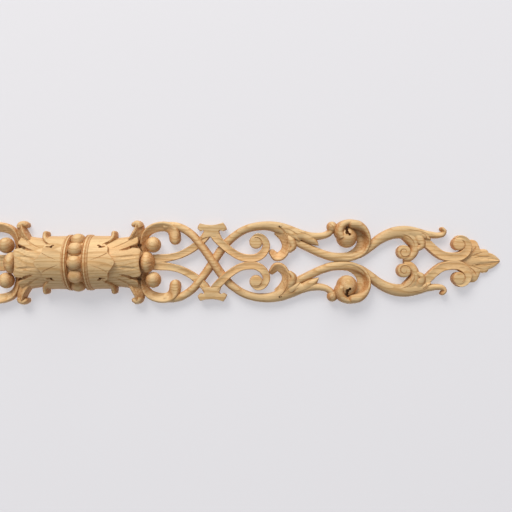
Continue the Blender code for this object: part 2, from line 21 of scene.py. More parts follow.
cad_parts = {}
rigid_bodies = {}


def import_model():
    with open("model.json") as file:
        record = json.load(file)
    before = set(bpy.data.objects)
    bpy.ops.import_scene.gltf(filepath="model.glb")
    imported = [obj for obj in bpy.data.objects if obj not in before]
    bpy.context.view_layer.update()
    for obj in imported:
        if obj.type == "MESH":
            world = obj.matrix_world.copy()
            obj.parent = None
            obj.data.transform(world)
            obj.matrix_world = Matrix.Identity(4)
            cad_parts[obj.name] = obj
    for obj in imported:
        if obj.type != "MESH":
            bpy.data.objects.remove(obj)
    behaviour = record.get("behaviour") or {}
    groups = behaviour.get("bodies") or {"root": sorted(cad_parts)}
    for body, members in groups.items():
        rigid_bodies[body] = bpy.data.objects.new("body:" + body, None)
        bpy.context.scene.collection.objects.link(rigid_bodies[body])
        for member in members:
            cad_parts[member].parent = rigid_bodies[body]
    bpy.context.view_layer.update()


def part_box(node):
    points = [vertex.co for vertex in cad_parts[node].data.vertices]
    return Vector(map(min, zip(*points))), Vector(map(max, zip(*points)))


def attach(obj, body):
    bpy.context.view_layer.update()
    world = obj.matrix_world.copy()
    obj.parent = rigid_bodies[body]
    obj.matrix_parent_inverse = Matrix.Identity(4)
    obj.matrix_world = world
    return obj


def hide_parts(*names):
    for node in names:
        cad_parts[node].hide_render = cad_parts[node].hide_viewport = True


LOG = logging.getLogger("scroll_onlay")
NODE = "scroll_onlay"
MILLIMETRE = 0.001
DENSE = 16  # samples of a smooth line between two of its rows
QUARTERS = ((1, 1), (1, -1), (-1, 1), (-1, -1))

Row = tuple[float, ...]
Rows = tuple[Row, ...]


class Turn(Enum):
    """Which way a volute winds inwards, seen from the front."""

    LEFT = 1
    RIGHT = -1


class End(Enum):
    """How a stem stops."""

    BURIED = "inside another piece"
    ROUND = "rounded off"
    POINT = "drawn out to a point"


def mirrored_section(half: tuple[tuple[float, float], ...]) -> tuple[tuple[float, float], ...]:
    """Whole section from its left half, which ends at the middle."""
    return (*half, *((-share, height) for share, height in reversed(half[:-1])))


class Section(Enum):
    """A stem's outline across its run, left side to right: (share of the width, share of the rise)."""

    ROUND = mirrored_section(((-0.50, 0.40), (-0.487, 0.56), (-0.45, 0.71), (-0.39, 0.82), (-0.31, 0.905),
                              (-0.215, 0.96), (-0.11, 0.99), (0.0, 1.0)))
    STRAP = mirrored_section(((-0.50, 0.62), (-0.492, 0.84), (-0.47, 0.93), (-0.44, 0.975), (-0.40, 1.0),
                              (-0.34, 0.99), (-0.22, 0.955), (0.0, 0.94)))
    HOLLOW = ((-0.50, 0.24), (-0.48, 0.27), (-0.43, 0.27), (-0.34, 0.25), (-0.22, 0.24), (-0.10, 0.26),
              (0.01, 0.34), (0.09, 0.50), (0.16, 0.72), (0.21, 0.88), (0.26, 0.965), (0.33, 1.0),
              (0.41, 0.975), (0.47, 0.88), (0.50, 0.66))
    SLOPED = ((-0.50, 0.56), (-0.48, 0.78), (-0.44, 0.92), (-0.38, 0.985), (-0.31, 1.0), (-0.23, 0.97),
              (-0.14, 0.90), (-0.04, 0.82), (0.06, 0.745), (0.16, 0.68), (0.26, 0.62), (0.35, 0.57),
              (0.43, 0.53), (0.48, 0.47), (0.50, 0.40))
    RIDGED = mirrored_section(((-0.50, 0.42), (-0.485, 0.54), (-0.44, 0.62), (-0.34, 0.68), (-0.20, 0.70),
                               (-0.115, 0.655), (-0.07, 0.76), (0.0, 0.82)))


@dataclass(frozen=True)
class Sheet:
    """The drawing sheet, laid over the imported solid's box.

    Args:
        length: the onlay's length in metres, 1000 on the sheet.
        height: its height, 100 on the sheet.
    """

    length: float
    height: float
    drawn_length: float = 1000.0
    drawn_height: float = 99.2

    def place(self, x: float, z: float, rise: float = 0.0) -> Vector:
        """Point of the onlay.

        Args:
            x: place along the sheet, in millimetres.
            z: place across it.
            rise: height above the back, in millimetres.

        Returns:
            The point, in metres.
        """
        return Vector((x * self.along(1.0), -rise * MILLIMETRE, z * self.height / self.drawn_height))

    def along(self, size: float) -> float:
        """A size along the onlay, in metres."""
        return size * self.length / self.drawn_length


@dataclass(frozen=True)
class Stem:
    """A stem, strap or lobe that follows a line.

    Args:
        name: what the piece is.
        rows: x, z, width and rise along its line, in millimetres on the sheet.
        first: its section where it starts.
        last: its section where it ends, if that is another.
        end: how it stops.
        change: the shares of its length between which the section changes.
    """

    name: str
    rows: Rows
    first: Section = Section.ROUND
    last: Section | None = None
    end: End = End.ROUND
    change: tuple[float, float] = (0.36, 0.62)


@dataclass(frozen=True)
class Volute:
    """Round eye that ends a scroll, with the line that winds into it.

    Args:
        name: which eye it is.
        x, z: its middle, in millimetres on the sheet.
        diameter, rise: its size in millimetres.
        start: the angle in degrees at which the wound line comes in.
        turn: which way the line winds.
        sweep: how far it winds, in degrees.
    """

    name: str
    x: float
    z: float
    diameter: float
    rise: float
    start: float
    turn: Turn
    sweep: float


@dataclass(frozen=True)
class Gouge:
    """A cut with a narrow gouge, which follows the carved surface under its line.

    Args:
        points: x and z along the line, in millimetres on the sheet.
        width, depth: the cut's size in millimetres, which run out to nothing at its tapered ends.
        taper: the share of the length over which an end runs out; 0 keeps the cut full there.
    """

    points: Rows
    width: float = 1.5
    depth: float = 0.8
    taper: tuple[float, float] = (0.3, 0.3)


def add_node(tree: bpy.types.NodeTree, kind: str, inputs: dict | None = None,
             **settings: object) -> bpy.types.Node:
    """Adds a node with its settings and inputs.

    Args:
        tree: the tree that gets the node.
        kind: Blender's type name of the node.
        inputs: a value, or the output socket to link from, by the input's name or index.
        settings: the node's own properties.

    Returns:
        The new node.
    """
    node = tree.nodes.new(kind)
    for name, value in settings.items():
        setattr(node, name, value)
    for key, value in (inputs or {}).items():
        if isinstance(value, bpy.types.NodeSocket):
            tree.links.new(value, node.inputs[key])
        else:
            node.inputs[key].default_value = value
    return node


def maths(tree: bpy.types.NodeTree, operation: str, *operands: object) -> bpy.types.NodeSocket:
    """Result of a math node.

    Args:
        tree: the tree that gets the node.
        operation: Blender's name of the operation.
        operands: numbers or output sockets.

    Returns:
        The node's output.
    """
    return add_node(tree, "ShaderNodeMath", dict(enumerate(operands)), operation=operation).outputs[0]


def vector_maths(tree: bpy.types.NodeTree, operation: str, first: object,
                 second: object) -> bpy.types.NodeSocket:
    """Result of a vector math node.

    Args:
        tree: the tree that gets the node.
        operation: Blender's name of the operation.
        first: a vector or an output socket.
        second: the same, or a number for SCALE.

    Returns:
        The node's vector output.
    """
    key = "Scale" if operation == "SCALE" else 1
    return add_node(tree, "ShaderNodeVectorMath", {0: first, key: second}, operation=operation).outputs[0]


def spread(tree: bpy.types.NodeTree, value: bpy.types.NodeSocket, start: tuple[float, float],
           end: tuple[float, float] = (0.0, 1.0)) -> bpy.types.NodeSocket:
    """A value carried over from one range to another.

    Args:
        tree: the tree that gets the node.
        value: the value.
        start: the range that it comes from.
        end: the range that it goes to, past which it doesn't reach.

    Returns:
        The new value.
    """
    ends = {"From Min": start[0], "From Max": start[1], "To Min": end[0], "To Max": end[1]}
    return add_node(tree, "ShaderNodeMapRange", {"Value": value, **ends}).outputs[0]


def stored(tree: bpy.types.NodeTree, name: str, kind: str = "FLOAT") -> bpy.types.NodeSocket:
    """Value that each point carries.

    Args:
        tree: the tree that gets the node.
        name: the value's name.
        kind: FLOAT or FLOAT_VECTOR.

    Returns:
        The node's output.
    """
    node = add_node(tree, "GeometryNodeInputNamedAttribute", {"Name": name}, data_type=kind)
    return node.outputs["Attribute"]


def new_tree(name: str, inputs: dict[str, str]) -> bpy.types.GeometryNodeTree:
    """Geometry node tree with the named inputs and one geometry output.

    Args:
        name: the tree's name.
        inputs: socket type by input name, after the geometry that comes first.

    Returns:
        The empty tree.
    """
    tree = bpy.data.node_groups.new(name, "GeometryNodeTree")
    tree.interface.new_socket(name="Geometry", in_out="INPUT", socket_type="NodeSocketGeometry")
    for label, socket_type in inputs.items():
        tree.interface.new_socket(name=label, in_out="INPUT", socket_type=socket_type)
    tree.interface.new_socket(name="Geometry", in_out="OUTPUT", socket_type="NodeSocketGeometry")
    return tree


def finish_tree(tree: bpy.types.GeometryNodeTree, geometry: bpy.types.NodeSocket,
                finish: bpy.types.Material) -> None:
    """Ends the tree: instances made real, then the finish.

    Args:
        tree: the tree.
        geometry: what it has grown.
        finish: the material.
    """
    real = add_node(tree, "GeometryNodeRealizeInstances", {"Geometry": geometry})
    dressed = add_node(tree, "GeometryNodeSetMaterial", {"Material": finish, "Geometry": real.outputs[0]})
    add_node(tree, "NodeGroupOutput", {"Geometry": dressed.outputs[0]})


def mesh_from(name: str, points: list[Vector], edges: list[tuple[int, int]],
              faces: list[tuple[int, ...]] | None = None) -> bpy.types.Mesh:
    """Mesh from its points.

    Args:
        name: the mesh's name.
        points: the points.
        edges: pairs of point numbers.
        faces: rings of point numbers.

    Returns:
        The mesh.
    """
    mesh = bpy.data.meshes.new(name)
    mesh.from_pydata(points, edges, faces or [])
    return mesh


def mesh_of(name: str, bm: bmesh.types.BMesh) -> bpy.types.Mesh:
    """Mesh of a bmesh.

    Args:
        name: the mesh's name.
        bm: the bmesh, which is used up.

    Returns:
        The mesh.
    """
    mesh = bpy.data.meshes.new(name)
    bm.to_mesh(mesh)
    bm.free()
    return mesh


def set_point_values(mesh: bpy.types.Mesh, name: str, kind: str, values: list) -> None:
    """Stores one value for each point of the mesh.

    Args:
        mesh: the mesh.
        name: the name to store them under.
        kind: FLOAT or FLOAT_VECTOR.
        values: the values, in the points' order.
    """
    attribute = mesh.attributes.new(name, kind, "POINT")
    for item, value in zip(attribute.data, values):
        if kind == "FLOAT":
            item.value = value
        else:
            item.vector = value


def grown(name: str, mesh: bpy.types.Mesh, tree: bpy.types.GeometryNodeTree,
          inputs: dict[str, object]) -> bpy.types.Mesh:
    """Result of a geometry node tree as a plain mesh, with its faces pointing outwards.

    Args:
        name: name of the mesh.
        mesh: geometry that goes in.
        tree: the tree.
        inputs: value by the name of the tree's input.

    Returns:
        The plain mesh. The object and its modifier are gone.
    """
    obj = bpy.data.objects.new(name, mesh)
    bpy.context.scene.collection.objects.link(obj)
    modifier = obj.modifiers.new(tree.name, "NODES")
    modifier.node_group = tree
    identifiers = {item.name: item.identifier for item in tree.interface.items_tree
                   if item.item_type == "SOCKET" and item.in_out == "INPUT"}
    for label, value in inputs.items():
        modifier[identifiers[label]] = value
    plain = plain_mesh(obj)
    outwards(plain)
    return plain


def plain_mesh(obj: bpy.types.Object) -> bpy.types.Mesh:
    """The object's evaluated mesh on its own; the object is removed."""
    graph = bpy.context.evaluated_depsgraph_get()
    mesh = bpy.data.meshes.new_from_object(obj.evaluated_get(graph), depsgraph=graph)
    bpy.data.objects.remove(obj)
    return mesh


def skinned(name: str, rings: list[list[Vector]]) -> bpy.types.Mesh:
    """Closed mesh with quads between neighbouring rings of points, and a cap on the first and the last.

    Args:
        name: the mesh's name.
        rings: the rings, each with as many points.

    Returns:
        The mesh.
    """
    count = len(rings[0])
    faces = []
    for first in range(0, (len(rings) - 1) * count, count):
        for k in range(count):
            following = (k + 1) % count
            faces.append((first + k, first + following, first + count + following, first + count + k))
    faces.append(tuple(range(count)))
    faces.append(tuple(range((len(rings) - 1) * count, len(rings) * count)))
    mesh = mesh_from(name, [point for ring in rings for point in ring], [], faces)
    outwards(mesh)
    return mesh


def outwards(mesh: bpy.types.Mesh) -> None:
    """Turns the faces of a closed mesh outwards."""
    bm = bmesh.new()
    bm.from_mesh(mesh)
    bmesh.ops.recalc_face_normals(bm, faces=bm.faces)
    bm.to_mesh(mesh)
    bm.free()


def mirrored(mesh: bpy.types.Mesh, axis: tuple[int, int, int], name: str) -> bpy.types.Mesh:
    """Mirror image of a closed mesh, with its faces outwards.

    Args:
        mesh: the mesh.
        axis: the axis that changes sign.
        name: the image's name.

    Returns:
        The image.
    """
    copy = mesh.copy()
    copy.name = name
    copy.transform(Matrix.Scale(-1, 4, axis))
    copy.flip_normals()
    return copy


def both_halves(above: bpy.types.Mesh, name: str) -> list[bpy.types.Mesh]:
    """A piece and its mirror image below the centre line.

    Args:
        above: the piece above the centre line.
        name: its name.

    Returns:
        The two pieces.
    """
    return [above, mirrored(above, (0, 0, 1), name + "_below")]


def shells(mesh: bpy.types.Mesh) -> list[bpy.types.Mesh]:
    """The closed shells of a mesh, each on its own."""
    neighbours: list[list[int]] = [[] for _ in mesh.vertices]
    for edge in mesh.edges:
        a, b = edge.vertices
        neighbours[a].append(b)
        neighbours[b].append(a)
    shell_of = [-1] * len(neighbours)
    count = 0
    for seed in range(len(neighbours)):
        if shell_of[seed] >= 0:
            continue
        shell_of[seed] = count
        waiting = [seed]
        while waiting:
            for other in neighbours[waiting.pop()]:
                if shell_of[other] < 0:
                    shell_of[other] = count
                    waiting.append(other)
        count += 1
    parts = []
    for number in range(count):
        indices = [i for i, shell in enumerate(shell_of) if shell == number]
        index_of = {old: new for new, old in enumerate(indices)}
        faces = [tuple(index_of[v] for v in face.vertices) for face in mesh.polygons
                 if shell_of[face.vertices[0]] == number]
        parts.append(mesh_from(f"{mesh.name}_{number}", [mesh.vertices[i].co for i in indices], [], faces))
    return parts


def smooth_line(rows: Rows, step: float) -> list[Row]:
    """Smooth line through the rows, a Catmull-Rom spline, cut into even steps.

    Args:
        rows: the rows, of which the first two numbers are the place.
        step: distance between the samples, in the rows' unit.

    Returns:
        The samples, with all the rows' numbers carried along.
    """
    before_first = tuple(2 * a - b for a, b in zip(rows[0], rows[1]))
    after_last = tuple(2 * a - b for a, b in zip(rows[-1], rows[-2]))
    points = [before_first, *rows, after_last]
    dense = []
    for before, start, end, after in zip(points, points[1:], points[2:], points[3:]):
        for k in range(DENSE):
            t = k / DENSE
            dense.append(tuple(
                0.5 * (2 * b + (c - a) * t + (2 * a - 5 * b + 4 * c - d) * t ** 2
                       + (3 * b - a - 3 * c + d) * t ** 3)
                for a, b, c, d in zip(before, start, end, after)))
    dense.append(tuple(rows[-1]))
    runs = [0.0]
    for a, b in zip(dense, dense[1:]):
        runs.append(runs[-1] + math.dist(a[:2], b[:2]))
    count = max(2, round(runs[-1] / step))
    samples, i = [], 0
    for k in range(count + 1):
        goal = runs[-1] * k / count
        while i < len(runs) - 2 and runs[i + 1] < goal:
            i += 1
        t = (goal - runs[i]) / max(runs[i + 1] - runs[i], 1e-9)
        samples.append(tuple(a + (b - a) * t for a, b in zip(dense[i], dense[i + 1])))
    return samples


def value_at(table: tuple[tuple[float, float], ...], key: float) -> float:
    """Value of a table by straight lines between its rows.

    Args:
        table: rows of (key, value).
        key: where it is read.

    Returns:
        The value.
    """
    for (a, first), (b, second) in zip(table, table[1:]):
        if key <= b:
            return first + (second - first) * max(0.0, (key - a) / (b - a))
    return table[-1][1]


class StemMaker:
    """Grows stems: a section that follows a line, with a width and a rise of its own at each place.

    Args:
        sheet: the drawing sheet.
        finish: the wood.
    """

    STEP = 1.7  # millimetres between the samples along a stem
    BEHIND = -0.6  # share of the rise at which a section's foot lies, behind the back
    INNER_SHARE = 0.86  # a stem's inner edge stays within this share of the bend's radius
    NARROWEST = 0.02  # millimetres
    END_ANGLES = (15, 30, 45, 58, 70, 80, 87)
    END_RISE = 0.70  # share of the rise that a round end keeps at its very edge

    def __init__(self, sheet: Sheet, finish: bpy.types.Material) -> None:
        """Keeps the sheet and plants the tree."""
        self.sheet = sheet
        self.tree = self.plant(finish)

    @staticmethod
    def plant(finish: bpy.types.Material) -> bpy.types.GeometryNodeTree:
        """Tree that sweeps a section along a path whose points say how wide and how high it is there."""
        tree = new_tree("stem_along_a_line", {"Section": "NodeSocketObject"})
        group = add_node(tree, "NodeGroupInput")
        path = add_node(tree, "GeometryNodeMeshToCurve", {"Mesh": group.outputs["Geometry"]})
        place = add_node(tree, "GeometryNodeInputPosition")
        marked = add_node(tree, "GeometryNodeStoreNamedAttribute",
                          {"Name": "middle", "Geometry": path.outputs[0], "Value": place.outputs[0]},
                          data_type="FLOAT_VECTOR", domain="POINT")
        info = add_node(tree, "GeometryNodeObjectInfo", {"Object": group.outputs["Section"]})
        outline = add_node(tree, "GeometryNodeMeshToCurve", {"Mesh": info.outputs["Geometry"]})
        swept = add_node(tree, "GeometryNodeCurveToMesh", {
            "Fill Caps": True, "Curve": marked.outputs[0], "Profile Curve": outline.outputs[0]})
        blend = add_node(tree, "ShaderNodeMix", {
            0: stored(tree, "blend"), 4: stored(tree, "section_first", "FLOAT_VECTOR"),
            5: stored(tree, "section_last", "FLOAT_VECTOR")}, data_type="VECTOR")
        parts = add_node(tree, "ShaderNodeSeparateXYZ", {0: blend.outputs[1]})
        is_left = maths(tree, "LESS_THAN", parts.outputs["X"], 0.0)
        reach = add_node(tree, "ShaderNodeMix", {
            0: is_left, 2: stored(tree, "reach_right"), 3: stored(tree, "reach_left")}, data_type="FLOAT")
        aside_by = maths(tree, "MULTIPLY", parts.outputs["X"], reach.outputs[0])
        aside = vector_maths(tree, "SCALE", stored(tree, "aside", "FLOAT_VECTOR"), aside_by)
        height = maths(tree, "MULTIPLY", parts.outputs["Y"], stored(tree, "rise"))
        forwards = add_node(tree, "ShaderNodeCombineXYZ", {"Y": maths(tree, "MULTIPLY", height, -1.0)})
        offset = vector_maths(tree, "ADD", aside, forwards.outputs[0])
        point = vector_maths(tree, "ADD", stored(tree, "middle", "FLOAT_VECTOR"), offset)
        placed = add_node(tree, "GeometryNodeSetPosition", {"Geometry": swept.outputs[0], "Position": point})
        finish_tree(tree, placed.outputs[0], finish)
        return tree

    def outline(self, first: Section, last: Section) -> bpy.types.Object:
        """Closed ring whose points carry a stem's two sections, with its foot behind the back.

        Args:
            first: the section where the stem starts.
            last: the section where it ends.

        Returns:
            The ring as an object.
        """
        ends = [list(section.value) + [(0.5, self.BEHIND), (-0.5, self.BEHIND)] for section in (first, last)]
        count = len(ends[0])
        mesh = mesh_from("section", [Vector((share, height, 0.0)) for share, height in ends[0]],
                         [(k, (k + 1) % count) for k in range(count)])
        for label, points in zip(("section_first", "section_last"), ends):
            set_point_values(mesh, label, "FLOAT_VECTOR", [(share, height, 0.0) for share, height in points])
        obj = bpy.data.objects.new("section", mesh)
        bpy.context.scene.collection.objects.link(obj)
        return obj

    def rounded(self, samples: list[Row]) -> list[Row]:
        """The samples with a round end: the last half width narrows as a half circle does."""
        x, z, width, rise = samples[-1]
        before = samples[-3]
        ahead = Vector((x - before[0], z - before[1])).normalized()
        added = []
        for angle in self.END_ANGLES:
            along, across = width / 2 * math.sin(math.radians(angle)), math.cos(math.radians(angle))
            height = rise * (self.END_RISE + (1 - self.END_RISE) * across)
            added.append((x + ahead.x * along, z + ahead.y * along, width * across, height))
        return samples + added

    def reaches(self, before: Row, here: Row, after: Row) -> tuple[float, float]:
        """How wide the section may be on its left and right, so that its inner edge doesn't fold in a bend.

        Args:
            before: the sample before.
            here: the sample.
            after: the sample after.

        Returns:
            The width on the left and on the right, in millimetres.
        """
        width = here[2]
        left, right = width, width
        entry = Vector((here[0] - before[0], here[1] - before[1]))
        leave = Vector((after[0] - here[0], after[1] - here[1]))
        if entry.length > 0 and leave.length > 0:
            turn = entry.angle_signed(leave, 0.0)
            if abs(turn) > 1e-3:
                radius = (entry.length + leave.length) / 2 / abs(turn)
                inner = min(width, 2 * radius * self.INNER_SHARE)
                left, right = (left, inner) if turn > 0 else (inner, right)
        return max(left, self.NARROWEST), max(right, self.NARROWEST)

    def grow(self, stem: Stem, lift: float = 1.0) -> bpy.types.Mesh:
        """Closed mesh of one stem.

        Args:
            stem: the stem.
            lift: factor on its rises.

        Returns:
            The mesh, in place.
        """
        samples = smooth_line(stem.rows, self.STEP)
        if stem.end is End.ROUND:
            samples = self.rounded(samples)
        count = len(samples)
        points, asides, lefts, rights, rises, blends = [], [], [], [], [], []
        for k, (x, z, _, rise) in enumerate(samples):
            before, after = samples[max(k - 2, 0)], samples[min(k + 2, count - 1)]
            ahead = Vector((after[0] - before[0], after[1] - before[1])).normalized()
            left, right = self.reaches(before, samples[k], after)
            share = (k / (count - 1) - stem.change[0]) / (stem.change[1] - stem.change[0])
            share = min(max(share, 0.0), 1.0)
            points.append(self.sheet.place(x, z))
            asides.append((ahead.y, 0.0, -ahead.x))
            lefts.append(self.sheet.along(left))
            rights.append(self.sheet.along(right))
            rises.append(rise * lift * MILLIMETRE)
            blends.append(share * share * (3 - 2 * share))
        mesh = mesh_from(stem.name, points, [(k, k + 1) for k in range(count - 1)])
        set_point_values(mesh, "aside", "FLOAT_VECTOR", asides)
        for label, values in (("reach_left", lefts), ("reach_right", rights), ("rise", rises),
                              ("blend", blends)):
            set_point_values(mesh, label, "FLOAT", values)
        section = self.outline(stem.first, stem.last or stem.first)
        grown_mesh = grown(stem.name, mesh, self.tree, {"Section": section})
        grown_mesh.name = stem.name
        bpy.data.objects.remove(section)
        return grown_mesh


class GougeMaker:
    """Cuts lines with a narrow gouge: a thin rod that follows the carved surface, to be taken away from it.

    Args:
        sheet: the drawing sheet.
        finish: the wood.
    """

    STEP = 1.3  # millimetres between the samples along a line
    IN_FRONT = 200.0  # millimetres from the back, where a line starts before it drops on the carving
    SIDES = 10
    THINNEST = 0.4  # share of the rod's radius at a tapered end
    LEAST_FADE = 0.12  # share of the depth at a tapered end

    def __init__(self, sheet: Sheet, finish: bpy.types.Material) -> None:
        """Keeps the sheet and plants the tree."""
        self.sheet = sheet
        self.tree = self.plant(finish)

    @staticmethod
    def plant(finish: bpy.types.Material) -> bpy.types.GeometryNodeTree:
        """Tree that drops a line on the carving from the front and gives it the thickness its points say."""
        tree = new_tree("gouge_cut", {"Carving": "NodeSocketObject", "Sides": "NodeSocketInt"})
        group = add_node(tree, "NodeGroupInput")
        info = add_node(tree, "GeometryNodeObjectInfo", {"Object": group.outputs["Carving"]})
        place = add_node(tree, "GeometryNodeInputPosition")
        ray = add_node(tree, "GeometryNodeRaycast", {
            "Ray Direction": (0.0, 1.0, 0.0), "Ray Length": 1.0, "Target Geometry": info.outputs["Geometry"],
            "Source Position": place.outputs[0]})
        shift = add_node(tree, "ShaderNodeCombineXYZ", {"Y": stored(tree, "sunk")})
        point = vector_maths(tree, "ADD", ray.outputs["Hit Position"], shift.outputs[0])
        missed = add_node(tree, "FunctionNodeBooleanMath", {0: ray.outputs["Is Hit"]}, operation="NOT")
        kept = add_node(tree, "GeometryNodeDeleteGeometry", {
            "Geometry": group.outputs["Geometry"], "Selection": missed.outputs[0]}, domain="POINT")
        dropped = add_node(tree, "GeometryNodeSetPosition", {"Geometry": kept.outputs[0], "Position": point})
        line = add_node(tree, "GeometryNodeMeshToCurve", {"Mesh": dropped.outputs[0]})
        circle = add_node(tree, "GeometryNodeCurvePrimitiveCircle", {
            "Radius": 1.0, "Resolution": group.outputs["Sides"]})
        rod = add_node(tree, "GeometryNodeCurveToMesh", {
            "Fill Caps": True, "Curve": line.outputs[0], "Profile Curve": circle.outputs[0],
            "Scale": stored(tree, "radius")})
        finish_tree(tree, rod.outputs[0], finish)
        return tree

    def fade(self, gouge: Gouge, share: float) -> float:
        """How much of a cut's depth is left, 1 in its middle.

        Args:
            gouge: the cut.
            share: the place along it, from 0 to 1.

        Returns:
            The share of the depth.
        """
        fade = 1.0
        for taper, run in zip(gouge.taper, (share, 1 - share)):
            if taper > 0:
                fade = min(fade, run / taper)
        return max(math.sin(fade * math.pi / 2), self.LEAST_FADE)

    def cut(self, gouge: Gouge, carving: bpy.types.Object,
            corners: tuple[tuple[int, int], ...]) -> bpy.types.Mesh:
        """Rods for one line, once for each pair of signs that mirror it.

        Args:
            gouge: the line.
            carving: the object that it is cut in.
            corners: signs for x and z.

        Returns:
            The rods as one mesh.
        """
        samples = smooth_line(gouge.points, self.STEP)
        radius = (gouge.width ** 2 / 4 + gouge.depth ** 2) / (2 * gouge.depth)
        points, radii, sunks, edges = [], [], [], []
        for sign_x, sign_z in corners:
            for k, (x, z, *_) in enumerate(samples):
                fade = self.fade(gouge, k / (len(samples) - 1))
                here = radius * (self.THINNEST + (1 - self.THINNEST) * fade)
                if k:
                    edges.append((len(points) - 1, len(points)))
                points.append(self.sheet.place(sign_x * x, sign_z * z, self.IN_FRONT))
                radii.append(here * MILLIMETRE)
                sunks.append((gouge.depth * fade - here) * MILLIMETRE)
        mesh = mesh_from("gouge", points, edges)
        set_point_values(mesh, "radius", "FLOAT", radii)
        set_point_values(mesh, "sunk", "FLOAT", sunks)
        return grown("gouge", mesh, self.tree, {"Carving": carving, "Sides": self.SIDES})


class BeadRow:
    """Row of turned beads round the collar, as instances on an arc."""

    def __init__(self, finish: bpy.types.Material) -> None:
        """Plants the tree."""
        self.tree = self.plant(finish)

    @staticmethod
    def plant(finish: bpy.types.Material) -> bpy.types.GeometryNodeTree:
        """Tree that sets beads on an elliptical arc in the plane across the onlay."""
        tree = new_tree("bead_row", {"Count": "NodeSocketInt", "Diameter": "NodeSocketFloat",
                                     "Half Height": "NodeSocketFloat", "Rise": "NodeSocketFloat",
                                     "Pitch": "NodeSocketFloat"})
        group = add_node(tree, "NodeGroupInput")
        line = add_node(tree, "GeometryNodeMeshLine", {"Count": group.outputs["Count"]})
        index = add_node(tree, "GeometryNodeInputIndex")
        spans = maths(tree, "SUBTRACT", group.outputs["Count"], 1.0)
        step = maths(tree, "SUBTRACT", index.outputs[0], maths(tree, "MULTIPLY", spans, 0.5))
        angle = maths(tree, "MULTIPLY", step, group.outputs["Pitch"])
        up = maths(tree, "MULTIPLY", maths(tree, "SINE", angle), group.outputs["Half Height"])
        out = maths(tree, "MULTIPLY", maths(tree, "COSINE", angle), group.outputs["Rise"])
        place = add_node(tree, "ShaderNodeCombineXYZ", {"Y": maths(tree, "MULTIPLY", out, -1.0), "Z": up})
        arc = add_node(tree, "GeometryNodeSetPosition", {
            "Geometry": line.outputs[0], "Position": place.outputs[0]})
        radius = maths(tree, "MULTIPLY", group.outputs["Diameter"], 0.5)
        bead = add_node(tree, "GeometryNodeMeshIcoSphere", {"Subdivisions": 4, "Radius": radius})
        row = add_node(tree, "GeometryNodeInstanceOnPoints", {
            "Points": arc.outputs[0], "Instance": bead.outputs[0]})
        finish_tree(tree, row.outputs[0], finish)
        return tree

    def string(self, count: int, diameter: float, half_height: float, rise: float, pitch: float
               ) -> list[bpy.types.Mesh]:
        """The beads.

        Args:
            count: how many.
            diameter: of a bead, in metres.
            half_height: of the arc of their middles, in metres.
            rise: of the same arc above the back, in metres.
            pitch: from one bead to the next, in radians.

        Returns:
            Each bead as a closed mesh.
        """
        start = mesh_from("bead_row", [Vector()], [])
        row = grown("bead_row", start, self.tree, {"Count": count, "Diameter": diameter,
                                                   "Half Height": half_height, "Rise": rise, "Pitch": pitch})
        return shells(row)


@dataclass(frozen=True)
class Drilling:
    """Shadow holes, drilled straight in from the front at the feet of leaves.

    Args:
        holes: x, z, diameter, and the rise of the hole's floor above the back, in millimetres on the sheet.
    """

    holes: Rows

    SIDES = 20

    def bits(self, sheet: Sheet, finish: bpy.types.Material) -> list[bpy.types.Mesh]:
        """The drill bits, mirrored to all four quarters, as instances of one cone made real.

        Args:
            sheet: the drawing sheet.
            finish: the wood.

        Returns:
            Each bit as a closed mesh.
        """
        tree = new_tree("drill_bits", {"Sides": "NodeSocketInt"})
        group = add_node(tree, "NodeGroupInput")
        size = stored(tree, "diameter")
        scale = add_node(tree, "ShaderNodeCombineXYZ", {"X": size, "Y": size, "Z": 1.0})
        bit = add_node(tree, "GeometryNodeMeshCone", {
            "Radius Top": 0.5, "Radius Bottom": 0.36, "Depth": 0.08, "Vertices": group.outputs["Sides"]})
        placed = add_node(tree, "GeometryNodeInstanceOnPoints", {
            "Rotation": (math.radians(90), 0.0, 0.0), "Points": group.outputs["Geometry"],
            "Instance": bit.outputs[0], "Scale": scale.outputs[0]})
        finish_tree(tree, placed.outputs[0], finish)
        points, sizes = [], []
        for x, z, diameter, floor in self.holes:
            for sign_x, sign_z in QUARTERS:
                points.append(sheet.place(sign_x * x, sign_z * z, floor))
                sizes.append(diameter * MILLIMETRE)
        mesh = mesh_from("drill_bits", points, [])
        set_point_values(mesh, "diameter", "FLOAT", sizes)
        return shells(grown("drill_bits", mesh, tree, {"Sides": self.SIDES}))


